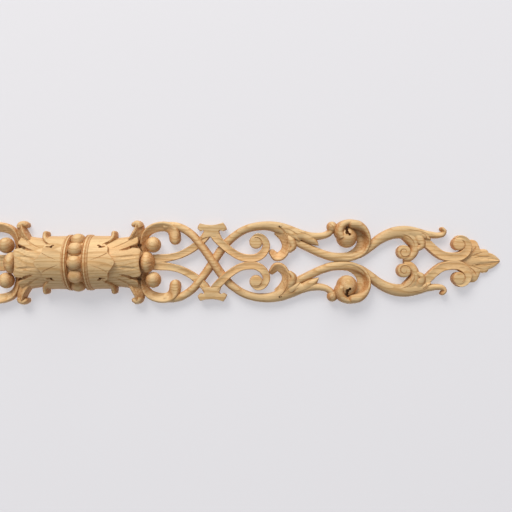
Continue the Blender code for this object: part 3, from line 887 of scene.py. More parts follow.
@dataclass(frozen=True)
class LeafSleeve:
    """A layer of leaves round the collar: a half-round sleeve whose end follows the leaves' edge.

    Args:
        name: which layer it is.
        edge: the share of its reach at each angle from the collar's upper edge, in degrees.
        bell: share of the reach, half height and rise, the last two as shares of the fillets'.
        reach: from the onlay's middle to the leaves' points, in metres.
        start: where the layer comes out of the collar.
        floor: where the flat floor inside the layer's end lies, as a share of its reach.
    """

    name: str
    edge: tuple[tuple[float, float], ...]
    bell: tuple[tuple[float, float, float], ...]
    reach: float
    start: float
    floor: float = 0.90

    SIDES = 96
    RUN = 18  # rings from the collar to the leaves' edge
    # The rolled edge and the way in to the floor: share of the run, of the size, and of the way to the floor
    EDGE = ((0.985, 0.998, 0.0), (1.0, 0.985, 0.0), (1.004, 0.96, 0.0), (0.996, 0.93, 0.0), (0.99, 0.75, 0.6),
            (0.99, 0.45, 1.0))

    def build(self, half_height: float, rise: float) -> bpy.types.Mesh:
        """Closed mesh of the right-hand sleeve.

        Args:
            half_height: the fillets' half height.
            rise: the fillets' rise.

        Returns:
            The mesh, in place.
        """
        lowest = self.edge[0][0]
        angles = [lowest + (180 - 2 * lowest) * k / self.SIDES for k in range(self.SIDES + 1)]
        heights = tuple((share, height) for share, height, _ in self.bell)
        rises = tuple((share, up) for share, _, up in self.bell)
        rings = []
        for step, size, level in (*((k / self.RUN, 1.0, 0.0) for k in range(self.RUN)), *self.EDGE):
            ring = []
            for angle in angles:
                inward = min(angle, 180 - angle)
                x = self.start + (value_at(self.edge, inward) * self.reach - self.start) * step
                x += (self.reach * self.floor - x) * level
                half = value_at(heights, x / self.reach) * half_height * size
                up = value_at(rises, x / self.reach) * rise * size
                turn = math.radians(angle)
                ring.append(Vector((x, -up * math.sin(turn), half * math.cos(turn))))
            rings.append(ring)
        return skinned(self.name, rings)


@dataclass(frozen=True)
class Collar:
    """The half-round collar: beads between two fillets, two layers of leaves, and the bud.

    Sizes are in metres. bud_place is in millimetres on the sheet, the crease's three values are shares of the
    bud's half width, and edges and bells are shares.
    """

    rise: float = 0.0345
    half_height: float = 0.0335
    leaf_reach: float = 0.0745
    cuff_reach: float = 0.0465
    channel_width: float = 0.0165
    channel_depth: float = 0.0040
    fillet_width: float = 0.0076
    fillet_groove: float = 0.0009
    cuff_step: float = 0.0022
    bead_count: int = 5
    bead_diameter: float = 0.0166
    bead_length: float = 0.0190
    bead_stand: float = 0.0038
    bead_pitch: float = math.radians(31.5)
    bud_place: float = 80.0
    bud_length: float = 0.0180
    bud_width: float = 0.0256
    bud_rise: float = 0.0225
    crease_place: float = 0.12
    crease_width: float = 0.07
    crease_depth: float = 0.10
    cuff_edge: tuple[tuple[float, float], ...] = (
        (-14, 0.72), (10, 0.78), (22, 0.83), (30, 0.84), (38, 0.79), (46, 0.69), (50, 0.775), (53, 0.80),
        (60, 0.815), (66, 0.815), (72, 0.855), (79, 0.925), (86, 0.985), (90, 1.00))
    leaf_edge: tuple[tuple[float, float], ...] = (
        (-14, 0.86), (8, 0.88), (24, 0.92), (40, 0.94), (48, 0.94), (52, 0.84), (55, 0.79), (58, 0.88),
        (61, 0.97), (67, 1.00), (74, 0.985), (82, 0.975), (90, 0.97))
    cuff_bell: tuple[tuple[float, float, float], ...] = (
        (0.20, 0.96, 0.96), (0.60, 0.945, 0.94), (0.85, 0.955, 0.93), (1.00, 0.99, 0.945))
    leaf_bell: tuple[tuple[float, float, float], ...] = (
        (0.30, 0.86, 0.84), (0.55, 0.86, 0.82), (0.75, 0.91, 0.75), (0.90, 0.99, 0.68), (1.00, 1.06, 0.65))

    def profile(self) -> list[tuple[float, float]]:
        """The drum's profile: (place along the onlay, inset from the fillets' crown), left to right."""
        inner = self.channel_width / 2
        outer = inner + self.fillet_width
        soft = self.fillet_width * 0.28
        side = [(inner * 0.5, self.channel_depth), (inner * 0.93, self.channel_depth * 0.95),
                (inner, self.channel_depth * 0.6), (inner + 0.0001, soft * 0.9)]
        for angle in (65, 40, 15):
            side.append((inner + soft * (1 - math.sin(math.radians(angle))),
                         soft * (1 - math.cos(math.radians(90 - angle)))))
        groove = inner + self.fillet_width * 0.60
        side += [(inner + soft, 0.0), (groove - self.fillet_groove, 0.0001), (groove, self.fillet_groove),
                 (groove + self.fillet_groove, 0.0001), (outer - soft, 0.0003)]
        for angle in (30, 60, 85):
            side.append((outer - soft * (1 - math.sin(math.radians(angle))),
                         0.0003 + soft * (1 - math.cos(math.radians(angle)))))
        side.append((outer, self.cuff_step * 3))
        ordered = sorted(set(side), key=lambda item: item[0])
        return [(-x, inset) for x, inset in reversed(ordered)] + ordered

    def drum(self) -> bpy.types.Mesh:
        """Core of the collar: the channel for the beads between two grooved fillets."""
        turns = [math.radians(angle) for angle in range(-21, 202, 3)]
        rings = []
        for x, inset in self.profile():
            half, rise = self.half_height - inset, self.rise - inset
            rings.append([Vector((x, -rise * math.sin(turn), half * math.cos(turn))) for turn in turns])
        return skinned("collar_drum", rings)

    def bud(self) -> bpy.types.Mesh:
        """Bud at the end of the long leaves: a plump ball with a crease across its face."""
        bm = bmesh.new()
        bmesh.ops.create_icosphere(bm, subdivisions=5, radius=1.0)
        for vert in bm.verts:
            crease = math.exp(-((vert.co.z + self.crease_place) / self.crease_width) ** 2)
            notch = crease * max(0.0, -vert.co.y) * max(0.0, vert.co.x + 0.2)
            vert.co *= 1.0 - self.crease_depth * notch
            vert.co.x *= self.bud_length / 2
            vert.co.y *= self.bud_width / 2
            vert.co.z *= self.bud_width / 2
            vert.co += Vector((self.bud_place * MILLIMETRE, self.bud_width / 2 - self.bud_rise, 0.0))
        return mesh_of("bud", bm)

    def tips(self) -> tuple[Stem, ...]:
        """Leaf tips that curl out of the collar's edge. Their rises are shares of the collar's."""
        return (
            Stem("leaf_tip", ((58.0, 21.0, 10.0, 0.36), (65.0, 28.0, 12.5, 0.42), (69.4, 35.6, 12.6, 0.43),
                              (70.6, 42.4, 9.6, 0.39)), Section.SLOPED),
            Stem("leaf_hook", ((71.4, 41.6, 8.4, 0.37), (70.0, 45.0, 8.4, 0.37), (66.6, 46.2, 7.6, 0.355),
                               (64.4, 45.0, 6.8, 0.34))),
            Stem("cuff_tip", ((29.0, 20.6, 7.0, 0.62), (36.0, 24.6, 7.4, 0.56), (40.3, 29.8, 7.0, 0.44),
                              (40.5, 34.2, 6.8, 0.37))),
        )

    def right_side(self, maker: StemMaker) -> list[bpy.types.Mesh]:
        """Every piece on the right of the beads, with the tips above and below.

        Args:
            maker: what grows the tips.

        Returns:
            Closed meshes that overlap.
        """
        start = self.channel_width / 2 + self.fillet_width * 0.8
        cuff = LeafSleeve("cuff", self.cuff_edge, self.cuff_bell, self.cuff_reach, start)
        leaves = LeafSleeve("long_leaves", self.leaf_edge, self.leaf_bell, self.leaf_reach,
                            start - self.fillet_width * 0.2)
        pieces = [layer.build(self.half_height, self.rise) for layer in (cuff, leaves)]
        pieces.append(self.bud())
        for tip in self.tips():
            pieces += both_halves(maker.grow(tip, self.rise / MILLIMETRE), tip.name)
        LOG.info("collar: two layers of leaves, a bud and %d tips a side", len(self.tips()) * 2)
        return pieces

    def beads(self, finish: bpy.types.Material) -> list[bpy.types.Mesh]:
        """The beads in the channel.

        Args:
            finish: the wood.

        Returns:
            Each bead as a closed mesh.
        """
        stand = self.bead_stand - self.bead_diameter / 2
        beads = BeadRow(finish).string(self.bead_count, self.bead_diameter, self.half_height + stand,
                                       self.rise + stand, self.bead_pitch)
        for bead in beads:
            bead.transform(Matrix.Diagonal((self.bead_length / self.bead_diameter, 1.0, 1.0, 1.0)))
        LOG.info("collar: %d beads", len(beads))
        return beads

    def gouges(self) -> tuple[Gouge, ...]:
        """Lines cut in the leaves, on the right half above the centre line."""
        return (
            Gouge(((17.5, 2.2), (26.0, 5.4), (32.0, 8.0), (37.2, 10.8)), 1.3, 0.7, (0.5, 0.0)),
            Gouge(((25.0, 20.4), (27.4, 19.2), (30.0, 17.8), (34.5, 18.8)), 2.4, 2.2, (0.1, 0.3)),
            Gouge(((30.0, 20.2), (33.0, 22.6), (36.6, 24.2)), 1.2, 0.5, (0.3, 0.2)),
            Gouge(((46.0, 6.0), (55.0, 6.4), (64.0, 7.2), (71.0, 7.6)), 4.6, 0.9, (0.5, 0.2)),
            Gouge(((50.0, 14.2), (58.0, 15.6), (65.0, 18.4), (71.0, 20.6)), 3.6, 3.6, (0.6, 0.0)),
            Gouge(((42.0, 17.2), (50.0, 20.2), (58.0, 24.6), (64.0, 30.6)), 3.0, 1.0, (0.5, 0.4)),
            Gouge(((62.0, 26.0), (66.5, 32.0), (69.0, 38.0)), 2.2, 0.8, (0.4, 0.3)),
        )


@dataclass(frozen=True)
class Wing:
    """One wing of scrollwork, drawn above the centre line. Places and sizes are millimetres on the sheet."""

    stems: tuple[Stem, ...] = (
        Stem("c_scroll", (
            (77.5, 11.5, 6.0, 8.0), (74.8, 20.5, 7.2, 9.0), (76.4, 30.0, 8.4, 10.0),
            (81.2, 37.3, 10.0, 10.0), (89.3, 41.5, 11.2, 10.0), (98.9, 42.8, 11.6, 10.5),
            (107.0, 40.4, 12.6, 11.0), (111.4, 34.6, 13.8, 11.5),
            (112.4, 27.6, 13.6, 11.0)), Section.SLOPED, Section.ROUND,
            change=(0.62, 0.86)),
        Stem("web", ((63.0, 12.0, 10.0, 4.6), (69.0, 19.0, 11.0, 4.6), (75.0, 26.0, 9.0, 4.6)), Section.STRAP,
             end=End.BURIED),
        Stem("prong", (
            (80.0, 2.0, 14.0, 8.0), (94.9, 4.3, 10.7, 8.0), (106.8, 5.8, 8.9, 8.0), (118.6, 8.8, 8.7, 8.0),
            (130.5, 14.7, 9.0, 8.0), (139.9, 21.4, 9.5, 8.6), (147.1, 28.5, 9.5, 9.6),
            (151.0, 34.0, 9.5, 9.6)),
            Section.STRAP, end=End.BURIED),
        Stem("leg", (
            (157.0, 34.5, 9.0, 9.5), (161.6, 28.5, 9.6, 10.6), (168.4, 21.8, 9.8, 11.5),
            (178.1, 13.4, 9.2, 12.0), (188.7, 6.9, 9.2, 10.5), (198.2, 4.5, 9.5, 10.0),
            (208.0, 4.7, 9.6, 10.0), (215.9, 8.8, 9.6, 10.5), (220.6, 16.0, 9.3, 10.5),
            (220.4, 22.8, 8.8, 10.8), (216.0, 28.6, 8.2, 11.0), (209.8, 30.0, 7.6, 11.0),
            (205.2, 27.4, 5.4, 10.6)),
            Section.STRAP, end=End.BURIED),
        Stem("inner_curl", (
            (234.0, 37.5, 11.0, 9.0), (241.5, 30.4, 12.0, 10.0), (245.0, 22.0, 11.0, 10.5),
            (243.9, 14.0, 10.2, 10.0), (239.0, 7.6, 11.2, 9.8), (232.6, 6.4, 10.8, 9.6),
            (227.8, 11.4, 7.6, 9.0)),
            Section.SLOPED),
        Stem("curl_lobe", (
            (243.0, 33.5, 8.0, 8.0), (249.8, 26.0, 11.0, 11.4), (252.6, 18.2, 9.6, 11.6),
            (249.4, 13.6, 6.0, 11.0))),
        Stem("great_scroll", (
            (247.0, 29.5, 9.5, 7.5), (261.0, 21.5, 9.0, 8.0), (275.2, 14.8, 9.6, 8.5),
            (287.0, 9.6, 9.9, 9.0), (298.8, 6.0, 10.4, 9.0), (310.7, 5.0, 10.9, 9.0),
            (322.0, 6.4, 11.8, 9.5), (332.4, 12.6, 14.2, 10.0), (337.2, 21.7, 15.4, 11.0),
            (335.8, 31.7, 15.3, 12.0), (329.4, 39.4, 13.6, 12.0),
            (320.4, 42.0, 10.0, 11.5)), Section.ROUND, Section.HOLLOW, change=(0.46, 0.74), end=End.BURIED),
        Stem("scroll_lip", (
            (341.6, 15.0, 3.0, 9.5), (343.0, 22.0, 4.4, 12.2), (341.9, 30.5, 5.8, 14.0),
            (337.2, 38.3, 8.6, 15.4), (330.0, 43.2, 11.0, 16.4), (322.6, 44.3, 10.6, 16.6))),
        Stem("bulb_lobe", (
            (328.0, 47.2, 4.6, 13.0), (319.0, 46.6, 7.4, 15.4), (310.8, 42.8, 10.4, 16.6),
            (307.4, 35.6, 12.0, 17.0), (310.4, 28.6, 10.0, 16.6)), end=End.BURIED),
        Stem("outer_stem", (
            (312.0, 5.4, 7.5, 8.0), (324.0, 6.0, 9.0, 8.3), (334.5, 9.8, 9.5, 8.5),
            (345.1, 17.6, 10.7, 9.0), (354.5, 25.3, 11.8, 9.0), (365.1, 31.1, 13.0, 9.5),
            (375.7, 34.3, 14.2, 9.5), (387.4, 34.6, 15.5, 10.0), (399.3, 33.3, 14.0, 10.0),
            (411.0, 32.0, 9.5, 10.0), (420.5, 31.2, 7.6, 9.5)), end=End.BURIED),
        Stem("outer_leaf_tip", (
            (414.0, 31.6, 8.0, 9.0), (424.5, 30.8, 7.2, 9.5), (430.6, 31.8, 6.6, 9.8),
            (433.0, 35.6, 5.6, 10.2), (430.6, 38.4, 4.8, 10.2))),
        Stem("branch", (
            (386.0, 33.5, 14.0, 9.5), (394.5, 25.5, 15.0, 10.0), (397.8, 18.0, 12.2, 10.0),
            (396.6, 10.8, 10.8, 10.0), (391.4, 5.0, 10.4, 10.0), (384.6, 4.2, 8.6, 9.8)), end=End.BURIED),
        Stem("branch_lobe", (
            (397.0, 33.0, 9.0, 8.5), (402.6, 26.4, 13.4, 10.8), (405.2, 19.0, 10.6, 10.8),
            (401.0, 15.0, 6.6, 10.4))),
        Stem("strap_lobe", (
            (401.0, 33.0, 7.0, 8.0), (408.0, 30.6, 9.0, 10.5), (415.0, 26.4, 3.4, 9.6))),
        Stem("last_strap", (
            (404.0, 27.5, 10.7, 7.5), (414.1, 19.7, 10.7, 8.0), (421.0, 13.2, 10.7, 8.5),
            (429.2, 7.4, 10.8, 9.0), (438.5, 5.1, 11.0, 9.5), (449.4, 5.3, 11.0, 10.0),
            (457.4, 10.6, 10.6, 10.5), (459.8, 18.4, 9.8, 10.5), (456.4, 24.8, 8.6, 11.0),
            (450.6, 27.2, 7.2, 11.0), (446.0, 25.0, 5.2, 10.6)),
            Section.STRAP, end=End.BURIED),
    )
    leaf_on_stem: tuple[Stem, ...] = (
        Stem("parting_tip", (
            (252.0, 34.0, 14.0, 10.0), (262.0, 31.8, 12.5, 10.5), (273.0, 30.2, 10.0, 10.5),
            (284.0, 30.2, 8.6, 10.0), (292.4, 32.0, 8.0, 10.0), (297.6, 35.8, 8.0, 10.5),
            (299.4, 40.0, 7.0, 10.5)), end=End.BURIED),
        Stem("parting_lobe_1", (
            (242.0, 38.5, 8.0, 8.0), (251.0, 33.0, 10.6, 10.8), (257.4, 27.8, 6.4, 10.0),
            (260.6, 24.6, 0.8, 9.2)),
            end=End.POINT),
        Stem("parting_lobe_2", (
            (258.0, 33.4, 8.0, 8.3), (267.0, 29.6, 11.0, 10.8), (275.4, 25.2, 9.8, 10.8),
            (280.4, 21.8, 6.0, 9.8), (283.0, 19.2, 0.8, 9.0)), end=End.POINT),
    )
    diagonal: Rows = (
        (99.0, 43.0, 9.0, 9.0), (109.0, 43.6, 9.2, 9.2), (118.5, 41.4, 9.5, 9.8), (126.5, 37.2, 9.5, 10.4),
        (134.4, 30.8, 9.7, 11.4), (142.8, 20.6, 9.8, 12.4), (151.1, 9.4, 10.0, 12.4),
        (158.7, -1.8, 10.4, 12.4), (166.3, -13.1, 10.4, 10.6), (174.5, -23.2, 10.0, 8.8),
        (183.9, -31.5, 9.5, 8.8), (195.8, -38.6, 9.5, 9.2), (210.0, -42.4, 9.8, 9.5),
        (225.4, -42.8, 11.3, 9.5), (239.0, -39.4, 14.4, 9.8), (252.0, -34.0, 16.0, 9.8),
        (263.0, -31.0, 13.5, 10.0))
    crossing_drop: float = 3.6
    crossing_span: tuple[float, float] = (134.0, 176.0)
    volutes: tuple[Volute, ...] = (
        Volute("leg_eye", 208.8, 23.6, 15.8, 11.2, -52.0, Turn.LEFT, 175.0),
        Volute("branch_eye", 384.2, 11.0, 16.6, 10.8, 25.0, Turn.RIGHT, 420.0),
        Volute("last_eye", 449.2, 20.6, 15.4, 11.2, -52.0, Turn.LEFT, 110.0),
    )
    balls: Rows = ((87.0, 20.8, 18.8, 18.0), (316.8, 28.8, 25.0, 17.0), (299.2, 41.2, 13.0, 12.4))
    cap_rise: float = 10.0
    cap: Rows = (
        (142.5, 46.0), (149.0, 44.5), (156.2, 44.0), (163.2, 44.8), (169.8, 47.0), (172.6, 43.4),
        (174.3, 39.3), (170.3, 36.9), (167.0, 38.2), (165.4, 37.2), (165.0, 36.0), (166.4, 32.4),
        (168.6, 28.0), (162.0, 29.6), (156.2, 29.9), (150.0, 29.0), (143.4, 27.0), (145.6, 31.6),
        (146.9, 36.0), (146.6, 37.4), (145.4, 38.2), (142.5, 36.9), (139.4, 40.3), (140.4, 43.4))
    neck: Rows = ((61.0, 0.0, 30.0, 8.0), (70.0, 0.0, 30.0, 7.4), (79.0, 0.0, 22.0, 6.8))
    tip_leaf: Rows = (
        (451.0, 0.0, 14.0, 7.6), (457.0, 0.0, 34.0, 7.9), (463.0, 0.0, 49.6, 8.2), (468.6, 0.0, 50.4, 8.4),
        (472.6, 0.0, 45.4, 8.5), (474.6, 0.0, 37.0, 8.5), (475.8, 0.0, 28.2, 8.4), (480.0, 0.0, 28.6, 8.2),
        (484.6, 0.0, 26.2, 8.0), (486.2, 0.0, 20.4, 7.6), (489.6, 0.0, 18.4, 7.0), (493.4, 0.0, 14.4, 6.4),
        (497.2, 0.0, 8.4, 5.8), (500.0, 0.0, 2.4, 5.0))

    def crossed_under(self) -> Rows:
        """The diagonal's rows for its mirror image, lowered where it passes under the other."""
        start, end = self.crossing_span
        rows = []
        for x, z, width, rise in self.diagonal:
            share = min(max((x - start) / (end - start), 0), 1)
            rows.append((x, z, width, rise - self.crossing_drop * math.sin(math.pi * share)))
        return tuple(rows)

    EYE_SIDES = 48
    # The eye's dome from its foot to its middle: (share of the radius, share of the rise)
    EYE_DOME = ((1.0, -0.6), (1.0, 0.72), (0.985, 0.86), (0.95, 0.93), (0.88, 0.965), (0.7, 0.985),
                (0.4, 0.998), (0.1, 1.0))
    # The cap's rings from its foot to its face: (inset, drop from the face), in millimetres
    CAP_EDGE = ((0.0, 16.0), (0.0, 1.4), (0.35, 0.5), (0.9, 0.1), (1.4, 0.0))

    @classmethod
    def eye(cls, sheet: Sheet, volute: Volute) -> bpy.types.Mesh:
        """Low domed boss with a soft edge, as the eye of a volute.

        Args:
            sheet: the drawing sheet.
            volute: the volute.

        Returns:
            The closed mesh, in place.
        """
        turns = [2 * math.pi * k / cls.EYE_SIDES for k in range(cls.EYE_SIDES)]
        rings = []
        for share, height in cls.EYE_DOME:
            radius = volute.diameter / 2 * share
            rings.append([sheet.place(volute.x + radius * math.cos(turn), volute.z + radius * math.sin(turn),
                                      volute.rise * height) for turn in turns])
        return skinned(volute.name, rings)

    @staticmethod
    def ball(sheet: Sheet, row: Row) -> bpy.types.Mesh:
        """Ball that stands up from the back to its rise.

        Args:
            sheet: the drawing sheet.
            row: x, z, diameter and rise, in millimetres on the sheet.

        Returns:
            The closed mesh, in place.
        """
        x, z, diameter, rise = row
        bm = bmesh.new()
        bmesh.ops.create_icosphere(bm, subdivisions=4, radius=diameter / 2 * MILLIMETRE)
        bmesh.ops.translate(bm, vec=sheet.place(x, z, rise - diameter / 2), verts=bm.verts)
        return mesh_of("ball", bm)

    def bracket(self, sheet: Sheet) -> bpy.types.Mesh:
        """Flat bracket at the top of the crossing, with its upper edges taken off.

        Args:
            sheet: the drawing sheet.

        Returns:
            The closed mesh, in place.
        """
        middle = Vector((sum(x for x, _ in self.cap), sum(z for _, z in self.cap))) / len(self.cap)
        rings = []
        for inset, drop in self.CAP_EDGE:
            ring = []
            for x, z in self.cap:
                away = Vector((x - middle.x, z - middle.y))
                place = middle + away * (1 - inset / max(away.length, 1.0) * 0.8)
                ring.append(sheet.place(place.x, place.y, self.cap_rise - drop))
            rings.append(ring)
        return skinned("cap", rings)

    def right_side(self, sheet: Sheet, maker: StemMaker) -> list[bpy.types.Mesh]:
        """Every piece of the right wing, above and below the centre line.

        Args:
            sheet: the drawing sheet.
            maker: what grows the stems.

        Returns:
            Closed meshes that overlap.
        """
        pieces = []
        for stem in (*self.stems, *self.leaf_on_stem):
            pieces += both_halves(maker.grow(stem), stem.name)
        over = maker.grow(Stem("diagonal", self.diagonal, end=End.BURIED))
        under = maker.grow(Stem("diagonal_below", self.crossed_under(), end=End.BURIED))
        pieces += [over, mirrored(under, (0, 0, 1), "diagonal_below")]
        for volute in self.volutes:
            pieces += both_halves(self.eye(sheet, volute), volute.name)
        for row in self.balls:
            pieces += both_halves(self.ball(sheet, row), "ball")
        pieces += both_halves(self.bracket(sheet), "cap")
        pieces.append(maker.grow(Stem("tip_leaf", self.tip_leaf, Section.RIDGED, end=End.BURIED)))
        pieces.append(maker.grow(Stem("neck", self.neck, Section.STRAP, end=End.BURIED)))
        LOG.info("wing: %d overlapping pieces a side", len(pieces))
        return pieces

    @staticmethod
    def spiral(volute: Volute) -> Gouge:
        """Line that winds into a volute's eye, from just outside it."""
        points = 15
        widest, narrowing, full_sweep, haste = 1.04, 0.78, 420.0, 0.62
        turns = []
        for k in range(points):
            swept = volute.sweep * k / (points - 1)
            angle = math.radians(volute.start + volute.turn.value * swept)
            radius = volute.diameter / 2 * (widest - narrowing * (swept / full_sweep) ** haste)
            turns.append((volute.x + radius * math.cos(angle), volute.z + radius * math.sin(angle)))
        return Gouge(tuple(turns), 1.7, 1.2, (0.0, 0.35))

    def gouges(self) -> tuple[Gouge, ...]:
        """Spiral lines in the eyes, veins on the leaves and rims on the straps."""
        return (
            *(self.spiral(volute) for volute in self.volutes),
            Gouge(((244.0, 39.6), (252.0, 36.0), (259.0, 31.0)), 1.5, 0.7, (0.5, 0.1)),
            Gouge(((256.0, 37.4), (266.0, 33.6), (276.0, 29.4)), 1.5, 0.7, (0.5, 0.3)),
            Gouge(((296.0, 44.6), (299.6, 41.4), (301.6, 36.6)), 1.3, 0.6),
            Gouge(((233.0, 42.5), (240.0, 38.6), (244.6, 32.0), (246.6, 25.0), (245.8, 17.6)),
                  1.9, 1.3, (0.4, 0.1)),
            Gouge(((384.0, 38.6), (396.0, 36.4), (407.0, 34.4), (414.0, 30.6)), 1.5, 0.7, (0.5, 0.1)),
            Gouge(((380.0, 32.6), (390.0, 29.0), (395.6, 22.0), (396.4, 15.0)), 1.5, 0.8),
            Gouge(((404.0, 34.6), (409.6, 30.4), (410.4, 25.6)), 1.4, 0.8, (0.4, 0.2)),
            Gouge(((466.0, 3.0), (474.0, 4.6), (482.0, 5.2), (490.0, 4.2)), 1.8, 0.8),
            Gouge(((462.0, 7.0), (468.0, 12.0), (471.0, 18.0)), 2.0, 1.0),
            Gouge(((466.0, 6.0), (474.0, 9.0), (481.0, 10.6)), 1.6, 0.8),
        )

    def drilling(self) -> Drilling:
        """Shadow holes of the wing and the collar's leaves."""
        return Drilling((
            (236.6, 41.8, 2.8, 4.0), (238.6, 41.4, 2.0, 6.0), (316.4, 41.0, 3.4, 6.0),
            (315.8, 38.0, 5.4, 5.0), (316.0, 34.4, 6.2, 5.0), (318.8, 32.2, 4.6, 6.0),
            (71.6, 20.4, 5.2, 3.6), (27.8, 18.4, 3.4, 20.0), (29.2, 18.2, 2.6, 20.0)))


class Onlay:
    """The whole carving: overlapping pieces made one body, then gouged, drilled and sawn flat at the back.

    Args:
        sheet: the drawing sheet.
        finish: the wood.
    """

    SAW_DEPTH = 0.06
    CREASE = math.radians(34)

    def __init__(self, sheet: Sheet, finish: bpy.types.Material) -> None:
        """Keeps the sheet and the wood."""
        self.sheet = sheet
        self.finish = finish
        self.collar = Collar()
        self.wing = Wing()

    @staticmethod
    def combine(obj: bpy.types.Object, operation: str, meshes: list[bpy.types.Mesh]) -> bpy.types.Object:
        """Boolean of the object with many closed meshes.

        Args:
            obj: the body so far, which is used up.
            operation: UNION or DIFFERENCE.
            meshes: the meshes to add or take away.

        Returns:
            A new object with the plain result.
        """
        tools = bpy.data.collections.new("tools")
        bpy.context.scene.collection.children.link(tools)
        for mesh in meshes:
            tools.objects.link(bpy.data.objects.new(mesh.name, mesh))
        modifier = obj.modifiers.new(operation.lower(), "BOOLEAN")
        modifier.operation = operation
        modifier.solver = "MANIFOLD"
        modifier.operand_type = "COLLECTION"
        modifier.collection = tools
        name = obj.name
        result = plain_mesh(obj)
        for tool in list(tools.objects):
            bpy.data.objects.remove(tool)
        bpy.data.collections.remove(tools)
        combined = bpy.data.objects.new(name, result)
        bpy.context.scene.collection.objects.link(combined)
        LOG.info("%s of %d pieces: %d faces", operation.lower(), len(meshes), len(result.polygons))
        return combined

    def saw(self) -> bpy.types.Mesh:
        """Box behind the plane of the back."""
        bm = bmesh.new()
        bmesh.ops.create_cube(bm, size=1.0)
        size = (self.sheet.length * 1.2, self.SAW_DEPTH, self.sheet.height * 1.6)
        bmesh.ops.scale(bm, vec=size, verts=bm.verts)
        bmesh.ops.translate(bm, vec=(0, self.SAW_DEPTH / 2, 0), verts=bm.verts)
        return mesh_of("saw", bm)

    def build(self) -> bpy.types.Object:
        """Carves the onlay and returns it as one finished piece."""
        maker = StemMaker(self.sheet, self.finish)
        right = self.collar.right_side(maker) + self.wing.right_side(self.sheet, maker)
        left = [mirrored(mesh, (1, 0, 0), mesh.name + "_left") for mesh in right]
        body = bpy.data.objects.new("scroll_onlay_carved", self.collar.drum())
        bpy.context.scene.collection.objects.link(body)
        body = self.combine(body, "UNION", right + left + self.collar.beads(self.finish))
        gouge_maker = GougeMaker(self.sheet, self.finish)
        rods = []
        for gouge in (*self.collar.gouges(), *self.wing.gouges()):
            rods += shells(gouge_maker.cut(gouge, body, QUARTERS))
        bits = self.wing.drilling().bits(self.sheet, self.finish)
        body = self.combine(body, "DIFFERENCE", [*rods, *bits, self.saw()])
        self.dress(body)
        return body

    def dress(self, body: bpy.types.Object) -> None:
        """Gives the body its wood and smooth shading with crisp creases."""
        mesh = body.data
        mesh.materials.clear()
        mesh.materials.append(self.finish)
        for face in mesh.polygons:
            face.material_index = 0
        mesh.shade_smooth()
        mesh.set_sharp_from_angle(angle=self.CREASE)


def linear(colour: str) -> tuple[float, float, float, float]:
    """Linear RGBA from an sRGB hex colour such as E4BE88."""
    channels = [int(colour[k:k + 2], 16) / 255 for k in (0, 2, 4)]
    return (*((c / 12.92 if c <= 0.04045 else ((c + 0.055) / 1.055) ** 2.4) for c in channels), 1.0)


